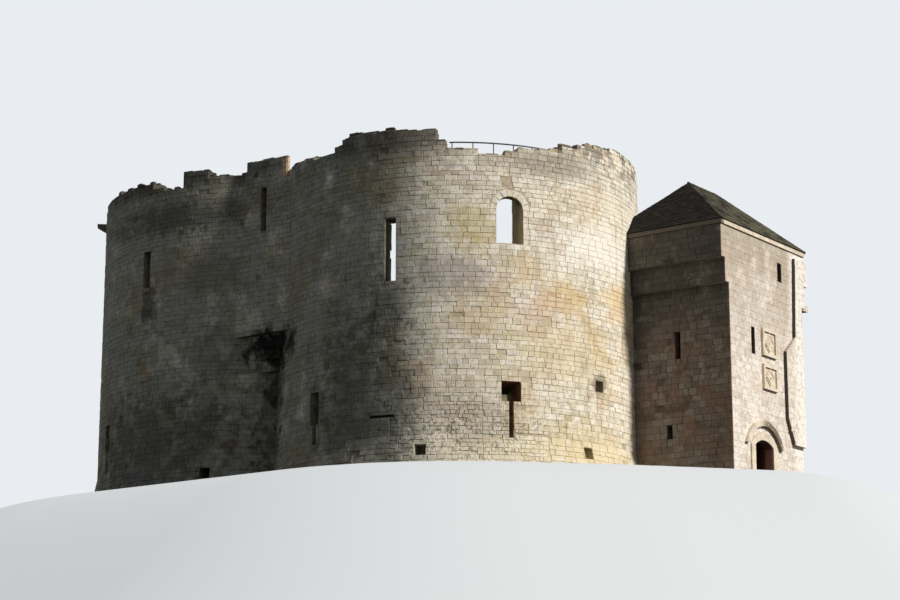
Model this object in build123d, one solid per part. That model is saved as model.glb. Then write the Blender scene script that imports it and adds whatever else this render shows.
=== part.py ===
from build123d import *
import math
import os

# A roofless keep with four round lobes and a square gate tower, in millimetres.
# +Z is up, and z = 0 is the ground. The origin is the centre of the four lobes.
# The gate tower faces -Y. The lobes are named by their compass side, with +Y as north.

# Driving dimensions of the lobes and their walls
lobe_radius = 7700.0
lobe_offset = 5150.0
wall_thickness = 2700.0
cusp_cut = 1600.0
walk_level = 12400.0
parapet_thickness = 850.0
parapet_height = 1820.0
plinth_height = 1500.0
plinth_spread = 350.0
floor_thickness = 200.0

# Driving dimensions of the small turrets in the angles between the lobes
turret_proud = 1070.0
turret_half_width = 1250.0
turret_base = 6600.0
turret_top = 14100.0
turret_notch = 350.0
turret_notch_width = 270.0
turret_slit_width = 300.0
turret_slit_height = 1900.0
turret_slit_sill = 11000.0
turret_slit_depth = 450.0
corbel_course = 500.0
CORBEL_SHARES = (0.74, 0.54, 0.38, 0.24, 0.12)

# Driving dimensions of the gate tower
gate_projection = 6220.0
gate_half_width = 3000.0
gate_wall = 1200.0
stage_step = 275.0
gate_eaves = 10650.0
first_step_drop = 2550.0
second_step_drop = 1550.0
chapel_floor_level = 3600.0
loft_height = 2750.0
upper_floor_thickness = 250.0
front_split_level = 2900.0

# Driving dimensions of the slits in the gate tower's sides, set back from its front face
side_slit_width = 250.0
low_slit_setback = 2900.0
low_slit_sill = 1980.0
low_slit_height = 560.0
high_slit_setback = 2430.0
high_slit_sill = 5240.0
high_slit_height = 1120.0

# Driving dimensions of the slit and the window in the gate tower's front
front_slit_centre = -1110.0
front_slit_width = 300.0
front_slit_sill = 5470.0
front_slit_height = 1130.0
front_window_centre = 1380.0
front_window_width = 360.0
front_window_drop = 1700.0
front_window_height = 820.0

# Driving dimensions of the doorway and the passage behind it
door_centre = -520.0
door_width = 1520.0
door_spring = 1720.0
door_rise = 250.0
door_jamb = 350.0
door_rebate = 300.0
passage_width = 1600.0
passage_spring = 1900.0
passage_rise = 450.0
passage_cover = 300.0
surround_width = 330.0
surround_proud = 70.0
hood_gap = 240.0
hood_width = 240.0
hood_proud = 140.0
step_length = 2300.0
step_depth = 450.0
step_height = 120.0

# Driving dimensions of what is fixed to the gate tower
panel_width = 1200.0
panel_centre = 170.0
upper_panel_height = 1150.0
upper_panel_sill = 5530.0
lower_panel_height = 1050.0
lower_panel_sill = 4130.0
panel_border = 130.0
panel_proud = 110.0
panel_field_depth = 45.0
buttress_proud = 160.0
buttress_base = 2100.0
buttress_foot_width = 950.0
buttress_bulge_width = 1500.0
buttress_bulge_low = 3200.0
buttress_bulge_high = 6000.0
buttress_waist_width = 650.0
buttress_waist_level = 6700.0
buttress_head_width = 450.0
buttress_top_drop = 450.0
coping_height = 180.0
coping_proud = 70.0
roof_rise = 2530.0
roof_depth = 5600.0
roof_ridge_half = 1150.0
roof_overhang = 100.0
roof_thickness = 280.0
spout_length = 650.0
spout_size = 260.0
spout_channel = 110.0
spout_lift = 150.0
spout_setback = 150.0
bracket_length = 430.0
bracket_height = 400.0
bracket_width = 350.0
bracket_tip = 120.0
bracket_share = 0.5
bracket_angle = 133.0

# Driving dimensions of the hand rail on the wall walk
rail_height = 1200.0
rail_tube = 60.0
rail_post = 44.0
rail_from = 214.0
rail_to = 250.0
rail_end = 1.0
rail_posts = 6
rail_gap = 150.0

# Room that the cutting shapes take past the faces they cut
cutter_past = 400.0
cutter_overlap = 50.0
wedge_steps = 4

# Sizes that follow from the ones above
first_step_level = gate_eaves - first_step_drop
second_step_level = gate_eaves - second_step_drop
loft_floor_level = gate_eaves - loft_height
bracket_top = walk_level + bracket_share * parapet_height
inner_radius = lobe_radius - wall_thickness
middle_half = lobe_offset + cusp_cut
reentrant = lobe_offset + math.sqrt(lobe_radius**2 - lobe_offset**2)
front_y = -(reentrant + gate_projection)
gate_inner_y = front_y + gate_wall
gate_inner_half = gate_half_width - gate_wall
middle_half_width = gate_half_width + stage_step
top_half_width = gate_half_width + 2 * stage_step
beyond = 2 * (reentrant + gate_projection)
tall = walk_level + 2 * lobe_radius

LOBES = {"sw": (-1, -1), "nw": (-1, 1), "ne": (1, 1), "se": (1, -1)}

# Where the wall of each lobe is divided, as angles from +X about the lobe's centre
SEGMENTS = {
    "sw": (("west", 90, 177.5), ("middle", 177.5, 218), ("window", 218, 245), ("south", 245, 360)),
    "nw": (("north", 0, 115), ("window", 115, 142), ("middle", 142, 187), ("west", 187, 270)),
    "ne": (("east", -90, -7), ("middle", -7, 38), ("window", 38, 65), ("north", 65, 180)),
    "se": (("south", 180, 295), ("window", 295, 322), ("middle", 322, 362.5), ("east", 362.5, 450)),
}

# Tall slits in the upper storey: lobe and angle
slit_width = 450.0
slit_sill = 7700.0
slit_height = 2550.0
slit_rear_width = 2500.0
slit_rear_lift = 700.0
slit_throat = 200.0
TALL_SLITS = (("sw", 195.7), ("se", 344.3))

# Short slits in the upper storey
short_slit_width = 420.0
short_slit_sill = 9200.0
short_slit_height = 1600.0
short_slit_rear_width = 1150.0
SHORT_SLITS = (("nw", 175.0), ("ne", 5.0))

# Round-headed windows in the upper storey
window_width = 1100.0
window_sill = 9170.0
window_height = 1930.0
window_rear_width = 2000.0
window_rear_lift = 900.0
ROUND_WINDOWS = (("sw", 231.5), ("nw", 128.5), ("ne", 51.5), ("se", 308.5))

# Loops in the lower storey: a square port with a thin slit below it
port_size = 790.0
port_sill = 2830.0
port_slit_width = 190.0
port_slit_drop = 1430.0
port_throat = 500.0
port_rear_width = 1400.0
PORTS = (("sw", 231.6), ("nw", 97.0), ("ne", 83.0), ("se", 308.4))

# Narrow loops in the lower storey, wider in their upper part
loop_width = 540.0
loop_sill = 2290.0
loop_height = 1320.0
loop_slit_width = 240.0
loop_slit_drop = 790.0
loop_rear_width = 1000.0
LOOPS = (("sw", 167.9), ("nw", 153.0), ("ne", 27.0), ("se", 372.1))

# Blind square holes in the outer face: lobe, angle, and sill as a share of the plinth's height
hole_size = 450.0
hole_depth = 900.0
DRAIN_HOLES = (("sw", 205.2, 0.447), ("sw", 257.2, 0.533), ("nw", 200.0, 0.467), ("se", 282.0, 0.493),
               ("se", 334.8, 0.447), ("ne", 66.0, 0.467), ("nw", 114.0, 0.467), ("sw", 263.0, 2.4))

# Long shallow slot where a course is missing
slot_width = 1050.0
slot_height = 110.0
slot_depth = 350.0
slot_sill = 2240.0
slot_angle = 193.2

# The broken top of each parapet: angle where a stretch ends, and its height as a share of the full one
PARAPET_START = {"sw": 138.0, "nw": 48.0, "ne": -42.0, "se": 228.0}
PARAPET_TOPS = {
    "sw": ((166, 0.60), (175.5, 0.52), (178.5, 0.66), (181, 0.80), (197, 0.84), (209.6, 0.775),
           (212.5, 0.50), (222, 0.34), (230, 0.21), (234, 0.30), (241, 0.40), (249, 0.45), (255, 0.59),
           (262, 0.71), (270, 0.80), (282, 0.86), (290, 0.85), (300, 0.80), (312, 0.58)),
    "nw": ((64, 0.60), (80, 0.77), (98, 0.69), (112, 0.85), (128, 0.72), (140, 0.70), (152, 0.83),
           (165, 0.80), (177, 0.775), (182, 0.62), (189.4, 0.53), (198.5, 0.885), (222, 0.71)),
    "ne": ((-28, 0.71), (-12, 0.58), (4, 0.82), (16, 0.71), (34, 0.52), (52, 0.80), (70, 0.88),
           (86, 0.66), (104, 0.77), (120, 0.60), (132, 0.69)),
    "se": ((235.5, 0.06), (241, 0.32), (254, 0.56), (270, 0.60), (286, 0.54), (300, 0.50), (318, 0.69),
           (334, 0.85), (350, 0.77), (364, 0.60), (378, 0.80), (390, 0.69), (402, 0.77)),
}

parts = {}


def block(x0, x1, y0, y1, z0, z1):
    """A box from its low and high corners."""
    centre = Pos((x0 + x1) / 2, (y0 + y1) / 2, (z0 + z1) / 2)
    return centre * Box(x1 - x0, y1 - y0, z1 - z0)


def centre_of(lobe):
    """The plan centre of a lobe."""
    side_x, side_y = LOBES[lobe]
    return side_x * lobe_offset, side_y * lobe_offset


def disc(lobe, radius, z0, z1):
    """A round drum about the centre of a lobe."""
    x, y = centre_of(lobe)
    return Pos(x, y, (z0 + z1) / 2) * Cylinder(radius, z1 - z0)


def quadrant(lobe, z0, z1):
    """The quarter of the plan that belongs to a lobe."""
    side_x, side_y = LOBES[lobe]
    return Pos(side_x * beyond / 2, side_y * beyond / 2, (z0 + z1) / 2) * Box(beyond, beyond, z1 - z0)


def wedge(lobe, angle_from, angle_to, z0, z1):
    """A slice of cake about the centre of a lobe, wider than the keep."""
    x, y = centre_of(lobe)
    points = [(x, y)]
    for step in range(wedge_steps + 1):
        angle = math.radians(angle_from + (angle_to - angle_from) * step / wedge_steps)
        points.append((x + beyond * math.cos(angle), y + beyond * math.sin(angle)))
    face = make_face(Polyline(*points, close=True))
    return Pos(0, 0, z0) * extrude(face, amount=z1 - z0)


def at_wall(lobe, angle, radius=0.0, z=0.0):
    """A place on a lobe's radius, with local X pointing outwards."""
    x, y = centre_of(lobe)
    return Pos(x, y, 0) * Rot(0, 0, angle) * Pos(radius, 0, z)


def upright(width, height, sill):
    """A rectangle on the local YZ plane, centred on Y."""
    return Plane.YZ * Pos(0, sill + height / 2) * Rectangle(width, height)


def splay(lobe, angle, outer, inner, front_radius, back_radius):
    """An opening that grows from one upright rectangle to another, given as width, sill and height."""
    front = Pos(front_radius, 0, 0) * upright(outer[0], outer[2], outer[1])
    back = Pos(back_radius, 0, 0) * upright(inner[0], inner[2], inner[1])
    return at_wall(lobe, angle) * loft([front, back], ruled=True)


def cut_slit(lobe, angle, width, sill, height, rear_width, rear_lift):
    """A slit with a short straight throat and a wide, rising embrasure behind it."""
    start = lobe_radius - slit_throat
    mouth = extrude(Pos(start, 0, 0) * upright(width, height, sill), slit_throat + cutter_past)
    face = (width, sill, height)
    rear = (rear_width, sill, height + rear_lift)
    return at_wall(lobe, angle) * mouth + splay(lobe, angle, face, rear, start, inner_radius - cutter_past)


def cut_round_window(lobe, angle):
    """A window with a round head and slightly splayed sides."""
    radius = window_width / 2
    spring = window_height - radius
    length = wall_thickness + 2 * cutter_past
    back = inner_radius - cutter_past
    tunnel = extrude(Pos(back, 0, 0) * upright(window_width, spring, window_sill), length)
    head = Pos(back + length / 2, 0, window_sill + spring) * Rot(0, 90, 0) * Cylinder(radius, length)
    front = (window_width, window_sill, window_height)
    rear = (window_rear_width, window_sill, window_height + window_rear_lift)
    sides = splay(lobe, angle, front, rear, lobe_radius - cutter_past, back)
    return at_wall(lobe, angle) * (tunnel + head) + sides


def cut_loop(lobe, angle, width, sill, height, thin_width, thin_drop, rear_width):
    """A loop with a wide upper part, a thin slit below it, and a splayed embrasure behind."""
    start = Pos(lobe_radius - port_throat, 0, 0)
    reach = port_throat + cutter_past
    wide = extrude(start * upright(width, height, sill), reach)
    thin = extrude(start * upright(thin_width, thin_drop + cutter_overlap, sill - thin_drop), reach)
    rear = (rear_width, sill - thin_drop, height + thin_drop)
    throat = (width, sill - thin_drop, height + thin_drop)
    room = splay(lobe, angle, throat, rear, lobe_radius - port_throat, inner_radius - cutter_past)
    return at_wall(lobe, angle) * (wide + thin) + room


def cut_port(lobe, angle):
    """A square port with a thin slit below it."""
    return cut_loop(lobe, angle, port_size, port_sill, port_size, port_slit_width, port_slit_drop,
                    port_rear_width)


def cut_hole(lobe, angle, sill):
    """A blind square hole, deep enough to cut the plinth too."""
    past = plinth_spread + cutter_past
    middle = lobe_radius + past - (hole_depth + past) / 2
    return at_wall(lobe, angle, middle, sill + hole_size / 2) * Box(hole_depth + past, hole_size, hole_size)


def arch(width, spring, rise, depth, base=0.0):
    """A doorway shape with a segmental head, standing on the XZ plane and running along +Y."""
    half = width / 2
    jambs = Polyline((half, spring), (half, base), (-half, base), (-half, spring))
    head = ThreePointArc((-half, spring), (0, spring + rise), (half, spring))
    return Rot(90, 0, 0) * Pos(0, 0, -depth) * extrude(make_face([*jambs.edges(), head]), amount=depth)


def wall_cuts(lobe):
    """Every opening in the wall of one lobe."""
    cuts = []
    for name, angle in TALL_SLITS:
        if name == lobe:
            tall_slit = cut_slit(lobe, angle, slit_width, slit_sill, slit_height, slit_rear_width,
                                 slit_rear_lift)
            cuts.append((angle, tall_slit))
    for name, angle in SHORT_SLITS:
        if name == lobe:
            short_slit = cut_slit(lobe, angle, short_slit_width, short_slit_sill, short_slit_height,
                                  short_slit_rear_width, 0.0)
            cuts.append((angle, short_slit))
    for name, angle in ROUND_WINDOWS:
        if name == lobe:
            cuts.append((angle, cut_round_window(lobe, angle)))
    for name, angle in PORTS:
        if name == lobe:
            cuts.append((angle, cut_port(lobe, angle)))
    for name, angle in LOOPS:
        if name == lobe:
            narrow_loop = cut_loop(lobe, angle, loop_width, loop_sill, loop_height, loop_slit_width,
                                   loop_slit_drop, loop_rear_width)
            cuts.append((angle, narrow_loop))
    for name, angle, share in DRAIN_HOLES:
        if name == lobe:
            cuts.append((angle, cut_hole(lobe, angle, share * plinth_height)))
    if lobe == "sw":
        slot = at_wall(lobe, slot_angle, lobe_radius, slot_sill + slot_height / 2)
        cuts.append((slot_angle, slot * Box(2 * slot_depth, slot_width, slot_height)))
    return cuts


def open_middle(z0, z1):
    """The square between the lobes, which the walls stay clear of."""
    return block(-middle_half, middle_half, -middle_half, middle_half, z0, z1)


def lobe_plan(lobe, z0, z1):
    """The solid ring of one lobe, kept to its own quarter and clear of the open middle."""
    ring = disc(lobe, lobe_radius, z0, z1) - disc(lobe, inner_radius, z0, z1)
    return (ring & quadrant(lobe, z0, z1)) - open_middle(z0, z1)


def passage_strip(z0, z1):
    """The strip of the south wall that holds the way in."""
    half = passage_width / 2
    return block(-half, half, -reentrant - gate_projection, 0, z0, z1)


def make_walls():
    """The thick walls, four stretches to a lobe, with their openings cut through."""
    for lobe, stretches in SEGMENTS.items():
        cuts = wall_cuts(lobe)
        ring = lobe_plan(lobe, 0, walk_level)
        for side, angle_from, angle_to in stretches:
            wall = ring & wedge(lobe, angle_from, angle_to, 0, walk_level)
            for angle, cut in cuts:
                if angle_from < angle < angle_to:
                    wall = wall - cut
            if side == "south":
                wall = wall - passage_strip(0, walk_level)
            parts[f"{lobe}_wall_{side}"] = wall


def make_entrance_wall():
    """The masonry over the way in, with the arched head of the passage cut from it."""
    whole = lobe_plan("sw", passage_spring, walk_level) + lobe_plan("se", passage_spring, walk_level)
    wall = whole & passage_strip(passage_spring, walk_level)
    head = arch(passage_width, passage_spring, passage_rise, beyond, passage_spring - passage_cover)
    parts["entrance_wall_over"] = wall - Pos(0, -beyond, 0) * head


def gate_footprint(z1):
    """The block of ground that the gate tower stands on."""
    return block(-gate_half_width, gate_half_width, front_y, -lobe_offset, 0, z1)


def make_plinths():
    """A sloping plinth round the foot of each lobe."""
    for lobe in LOBES:
        x, y = centre_of(lobe)
        foot = lobe_radius + plinth_spread
        outline = Polyline((lobe_radius, 0), (foot, 0), (lobe_radius, plinth_height), close=True)
        batter = Pos(x, y, 0) * revolve(Plane.XZ * make_face(outline), Axis.Z)
        batter = (batter & quadrant(lobe, 0, plinth_height)) - gate_footprint(plinth_height)
        batter = batter - open_middle(0, plinth_height)
        for other in LOBES:
            if other != lobe:
                batter = batter - disc(other, lobe_radius, 0, plinth_height)
        for name, angle, share in DRAIN_HOLES:
            if name == lobe and share < 1.0:
                batter = batter - cut_hole(lobe, angle, share * plinth_height)
        for name, angle in PORTS:
            if name == lobe:
                batter = batter - cut_port(lobe, angle)
        parts[f"{lobe}_plinth"] = batter


def make_parapets():
    """The broken parapet of each lobe, a run of stretches with their own top levels."""
    for lobe, tops in PARAPET_TOPS.items():
        highest = walk_level + parapet_height
        band = disc(lobe, lobe_radius, walk_level, highest)
        band = band - disc(lobe, lobe_radius - parapet_thickness, walk_level, highest)
        band = band & quadrant(lobe, walk_level, highest)
        angle_from = PARAPET_START[lobe]
        stretches = []
        for angle_to, share in tops:
            top = walk_level + share * parapet_height
            stretches.append(band & wedge(lobe, angle_from, angle_to, walk_level, top))
            angle_from = angle_to
        whole = stretches[0]
        for stretch in stretches[1:]:
            whole = whole + stretch
        parts[f"{lobe}_parapet"] = whole


def turret_block(proud, half_width, z0, z1):
    """A block in the west angle, from its face back to the bottom of the angle, clear of the lobes."""
    piece = block(-(reentrant + proud), -reentrant + cutter_overlap, -half_width, half_width, z0, z1)
    return piece - disc("sw", lobe_radius, z0, z1) - disc("nw", lobe_radius, z0, z1)


def west_turret():
    """The turret in the west angle, on its corbel courses."""
    whole = turret_block(turret_proud, turret_half_width, turret_base, turret_top)
    notch_from = turret_half_width - turret_notch_width
    whole = whole - block(-beyond, 0, notch_from, turret_half_width + cutter_overlap,
                          turret_top - turret_notch, turret_top + cutter_overlap)
    for course, share in enumerate(CORBEL_SHARES):
        top = turret_base - course * corbel_course
        corbel = turret_block(turret_proud * share, turret_half_width * share, top - corbel_course, top)
        whole = whole + corbel
    face = -(reentrant + turret_proud)
    half = turret_slit_width / 2
    slit = block(face - cutter_overlap, face + turret_slit_depth, -half, half,
                 turret_slit_sill, turret_slit_sill + turret_slit_height)
    return whole - slit


def make_turrets():
    """The same turret stands in the west, north and east angles."""
    turret = west_turret()
    for name, turn in (("west", 0), ("north", -90), ("east", 180)):
        parts[f"{name}_turret"] = Rot(0, 0, turn) * turret


def courtyard_plan():
    """The slab that fills the open middle and the four rooms."""
    floor = open_middle(0, floor_thickness)
    for lobe in LOBES:
        floor = floor + disc(lobe, inner_radius, 0, floor_thickness)
    return floor


def make_courtyard_floor():
    """The floor inside the lobes."""
    parts["courtyard_floor"] = courtyard_plan()


def clear_of_lobes(piece, z0, z1):
    """Cuts a piece of the gate tower back to the outside of the two south lobes."""
    return piece - disc("sw", lobe_radius, z0, z1) - disc("se", lobe_radius, z0, z1)


def make_gate_floors():
    """The floor of the way in, from the doorway to the courtyard, and the two floors above the gate room."""
    room = block(-gate_inner_half, gate_inner_half, gate_inner_y, -lobe_offset, 0, floor_thickness)
    room = clear_of_lobes(room, 0, floor_thickness)
    way = block(-passage_width / 2, passage_width / 2, -reentrant - wall_thickness, -lobe_offset,
                0, floor_thickness)
    sill = block(door_centre - door_width / 2, door_centre + door_width / 2, front_y, gate_inner_y,
                 0, floor_thickness)
    parts["passage_floor"] = (room + way + sill) - courtyard_plan()
    for name, level in (("chapel_floor", chapel_floor_level), ("loft_floor", loft_floor_level)):
        top = level + upper_floor_thickness
        slab = block(-gate_inner_half, gate_inner_half, gate_inner_y, -lobe_offset, level, top)
        parts[name] = clear_of_lobes(slab, level, top)


def stage_outline(inner, side):
    """The section of a gate wall, wider at each upper stage, from its inner face outwards."""
    low, middle, high = side * gate_half_width, side * middle_half_width, side * top_half_width
    return Polyline((side * inner, 0), (low, 0), (low, first_step_level), (middle, first_step_level),
                    (middle, second_step_level), (high, second_step_level), (high, gate_eaves),
                    (side * inner, gate_eaves), close=True)


def along_y(outline, y0, y1):
    """Runs a section drawn in X and Z along Y."""
    return Pos(0, y1, 0) * extrude(Plane.XZ * make_face(outline), amount=y1 - y0)


def make_gate_side_walls():
    """The side walls of the gate tower, from behind the front wall to the lobes."""
    for name, side in (("west", -1), ("east", 1)):
        wall = along_y(stage_outline(gate_inner_half, side), gate_inner_y, -lobe_offset)
        wall = clear_of_lobes(wall, 0, gate_eaves)
        low = side_slit(front_y + low_slit_setback, low_slit_sill, low_slit_height, side)
        high = side_slit(front_y + high_slit_setback, high_slit_sill, high_slit_height, side)
        parts[f"gate_{name}_wall"] = wall - low - high


def side_slit(y, sill, height, side):
    """A thin slit through a side wall of the gate tower."""
    reach = side * (gate_half_width + stage_step)
    inner = side * (gate_inner_half - stage_step)
    low, high = min(reach, inner), max(reach, inner)
    return block(low, high, y - side_slit_width / 2, y + side_slit_width / 2, sill, sill + height)


def door_shape(extra, depth):
    """The doorway's outline, grown by a border, running back from in front of the face."""
    return Pos(door_centre, 0, 0) * arch(door_width + 2 * extra, door_spring, door_rise + extra, depth)


def make_gate_front():
    """The front wall: a pier each side of the doorway, the arched head, and the wall above."""
    door_low = door_centre - door_width / 2
    door_high = door_centre + door_width / 2
    parts["front_wall_west"] = block(-gate_half_width, door_low, front_y, gate_inner_y, 0, front_split_level)
    parts["front_wall_east"] = block(door_high, gate_half_width, front_y, gate_inner_y, 0, front_split_level)
    head = block(door_low, door_high, front_y, gate_inner_y, door_spring, front_split_level)
    way = Pos(0, front_y - surround_proud, 0) * door_shape(0.0, gate_wall + 2 * surround_proud)
    rebate = block(door_low - door_rebate, door_high + door_rebate, front_y + door_jamb, gate_inner_y,
                   floor_thickness, door_spring + door_rise + door_rebate)
    parts["door_head"] = head - way - rebate
    for side in ("west", "east"):
        parts[f"front_wall_{side}"] = parts[f"front_wall_{side}"] - rebate
    upper = along_y(stage_outline(0, -1), front_y, gate_inner_y)
    upper = upper + along_y(stage_outline(0, 1), front_y, gate_inner_y)
    upper = upper - block(-beyond, beyond, -beyond, 0, 0, front_split_level)
    slit = front_opening(front_slit_centre, front_slit_width, front_slit_sill, front_slit_height)
    window = front_opening(front_window_centre, front_window_width, gate_eaves - front_window_drop,
                           front_window_height)
    parts["front_wall_upper"] = upper - slit - window


def front_opening(x, width, sill, height):
    """A straight opening through the front wall."""
    return block(x - width / 2, x + width / 2, front_y - cutter_overlap, gate_inner_y + cutter_overlap,
                 sill, sill + height)


def make_door_trim():
    """The stone surround of the doorway, the hood over it and the step in front."""
    surround = door_shape(surround_width, surround_proud) - door_shape(0.0, surround_proud)
    parts["door_surround"] = Pos(0, front_y - surround_proud, 0) * surround
    outer = door_shape(surround_width + hood_gap + hood_width, hood_proud)
    inner = door_shape(surround_width + hood_gap, hood_proud)
    above = block(-beyond, beyond, -beyond, beyond, door_spring, tall)
    parts["door_hood"] = Pos(0, front_y - hood_proud, 0) * ((outer - inner) & above)
    parts["door_step"] = block(door_centre - step_length / 2, door_centre + step_length / 2,
                               front_y - surround_proud - step_depth, front_y - surround_proud,
                               0, step_height)


def carved_panel(sill, height):
    """A framed stone panel with a plain raised lozenge."""
    low = panel_centre - panel_width / 2
    high = panel_centre + panel_width / 2
    frame = block(low, high, front_y - panel_proud, front_y, sill, sill + height)
    hollow = block(low + panel_border, high - panel_border, front_y - panel_proud,
                   front_y - panel_field_depth, sill + panel_border, sill + height - panel_border)
    reach = (min(panel_width, height) - 2 * panel_border) / 2
    lozenge = Polyline((-reach, 0), (0, -reach), (reach, 0), (0, reach), close=True)
    boss = extrude(Plane.XZ * make_face(lozenge), amount=(panel_proud - panel_field_depth) / 2)
    return (frame - hollow) + Pos(panel_centre, front_y - panel_field_depth, sill + height / 2) * boss


def make_panels():
    """Two carved panels over the doorway."""
    parts["upper_panel"] = carved_panel(upper_panel_sill, upper_panel_height)
    parts["lower_panel"] = carved_panel(lower_panel_sill, lower_panel_height)


def make_buttress():
    """The rough strip of masonry that stands proud at the east corner of the front."""
    edge = gate_half_width
    top = gate_eaves - buttress_top_drop
    outline = Polyline((edge, buttress_base), (edge, first_step_level), (middle_half_width, first_step_level),
                       (middle_half_width, second_step_level), (top_half_width, second_step_level),
                       (top_half_width, top), (edge - buttress_head_width, top),
                       (edge - buttress_waist_width, buttress_waist_level),
                       (edge - buttress_bulge_width, buttress_bulge_high),
                       (edge - buttress_bulge_width, buttress_bulge_low),
                       (edge - buttress_foot_width, buttress_base), close=True)
    parts["corner_buttress"] = along_y(outline, front_y - buttress_proud, front_y)


def make_coping():
    """The projecting top course round the gate tower."""
    low = gate_eaves - coping_height
    reach = top_half_width + coping_proud
    outer = block(-reach, reach, front_y - coping_proud, -lobe_offset, low, gate_eaves)
    inner = block(-top_half_width, top_half_width, front_y, -lobe_offset, low, gate_eaves)
    parts["gate_coping"] = clear_of_lobes(outer - inner, low, gate_eaves)


def hipped_form(drop):
    """A hipped roof's form, lowered by a drop all over."""
    half_width = top_half_width + roof_overhang
    y_front = front_y - roof_overhang
    y_back = y_front + roof_depth + 2 * roof_overhang
    y_ridge = (y_front + y_back) / 2
    foot = gate_eaves - drop
    peak = gate_eaves + roof_rise - drop
    end = Polyline((-half_width, foot), (half_width, foot), (roof_ridge_half, peak), (-roof_ridge_half, peak),
                   close=True)
    ends = along_y(end, y_front, y_back)
    side = Polyline((y_front, foot), (y_back, foot), (y_ridge, peak), close=True)
    sides = Pos(-half_width, 0, 0) * extrude(Plane.YZ * make_face(side), amount=2 * half_width)
    return ends & sides


def make_roof():
    """The hipped roof of the gate tower, a shell that sits on the walls and dies into the lobes."""
    shell = hipped_form(0.0) - hipped_form(roof_thickness)
    above = block(-beyond, beyond, -beyond, beyond, gate_eaves, tall)
    parts["gate_roof"] = clear_of_lobes(shell & above, gate_eaves, tall)


def stone_spout(length):
    """A square stone spout along +X with a channel cut in its top."""
    body = Pos(length / 2, 0, 0) * Box(length, spout_size, spout_size)
    channel = Pos(length / 2, 0, spout_size / 2) * Box(length, spout_channel, spout_channel)
    return body - channel


def make_spout():
    """A stone spout on the east side of the gate tower, near its front corner."""
    place = Pos(middle_half_width, front_y + spout_setback, first_step_level + spout_lift)
    parts["gate_spout"] = place * stone_spout(spout_length)


def make_bracket():
    """A single bracket stone that stands out of the north-west parapet, with a sloping underside."""
    low = bracket_top - bracket_height
    root = lobe_radius - cutter_overlap
    outline = Polyline((root, low), (root, bracket_top), (lobe_radius + bracket_length, bracket_top),
                       (lobe_radius + bracket_length, bracket_top - bracket_tip), close=True)
    stone = Pos(0, bracket_width / 2, 0) * extrude(Plane.XZ * make_face(outline), amount=bracket_width)
    parts["parapet_bracket"] = at_wall("nw", bracket_angle) * stone - disc("nw", lobe_radius, 0, tall)


def make_rail():
    """A low hand rail that stands on the wall walk behind the broken parapet of the south-west lobe."""
    radius = lobe_radius - parapet_thickness - rail_gap
    reach = rail_height - rail_tube / 2
    section = Pos(radius, 0, walk_level + reach) * Rot(90, 0, 0) * Circle(rail_tube / 2)
    rail = at_wall("sw", rail_from - rail_end) * revolve(section, Axis.Z, rail_to - rail_from + 2 * rail_end)
    for post in range(rail_posts):
        angle = rail_from + (rail_to - rail_from) * post / (rail_posts - 1)
        rail = rail + at_wall("sw", angle, radius, walk_level + reach / 2) * Cylinder(rail_post / 2, reach)
    parts["walk_rail"] = rail


make_walls()
make_entrance_wall()
make_plinths()
make_parapets()
make_turrets()
make_courtyard_floor()
make_gate_floors()
make_gate_side_walls()
make_gate_front()
make_door_trim()
make_panels()
make_buttress()
make_coping()
make_roof()
make_spout()
make_bracket()
make_rail()

os.makedirs("parts", exist_ok=True)
for name, shape in parts.items():
    export_step(shape, f"parts/{name}.step")
    print(name, round(shape.volume / 1e9, 3), "m3")
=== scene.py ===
# %% [markdown]
# # A stone keep with four round lobes
# The CAD model holds every wall, floor and opening of the keep as plain solids. This script dresses them:
# it lays single stones on the walls, breaks the wall tops, hangs the roof tiles, and gives each surface
# its finish. The solids stay where they are, and every stone sits on the wall that carries it.

import random
import bpy
from math import acos, asin, atan2, cos, degrees, exp, hypot, pi, radians, sin, sqrt
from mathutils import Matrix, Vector


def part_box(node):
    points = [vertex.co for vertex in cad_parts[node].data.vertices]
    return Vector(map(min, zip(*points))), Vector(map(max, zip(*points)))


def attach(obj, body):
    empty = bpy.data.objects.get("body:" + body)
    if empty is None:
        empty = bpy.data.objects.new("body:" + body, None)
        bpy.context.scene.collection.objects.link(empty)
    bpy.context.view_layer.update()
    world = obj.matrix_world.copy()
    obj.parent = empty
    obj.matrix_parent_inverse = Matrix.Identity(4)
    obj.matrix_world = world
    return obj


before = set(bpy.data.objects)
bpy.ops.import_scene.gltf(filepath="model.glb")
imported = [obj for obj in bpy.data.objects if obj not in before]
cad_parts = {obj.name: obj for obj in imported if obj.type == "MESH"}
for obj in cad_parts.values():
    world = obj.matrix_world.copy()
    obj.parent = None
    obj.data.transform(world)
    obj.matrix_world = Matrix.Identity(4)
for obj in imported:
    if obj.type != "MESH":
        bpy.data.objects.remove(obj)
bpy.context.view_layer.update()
scene = bpy.context.scene

# %% [markdown]
# ## The sizes of the real keep
# A dressing that fits needs the same sizes as the walls. These are metres, named as a mason would name
# them. Angles are degrees about the middle of a lobe, counted from +X towards +Y.

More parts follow.
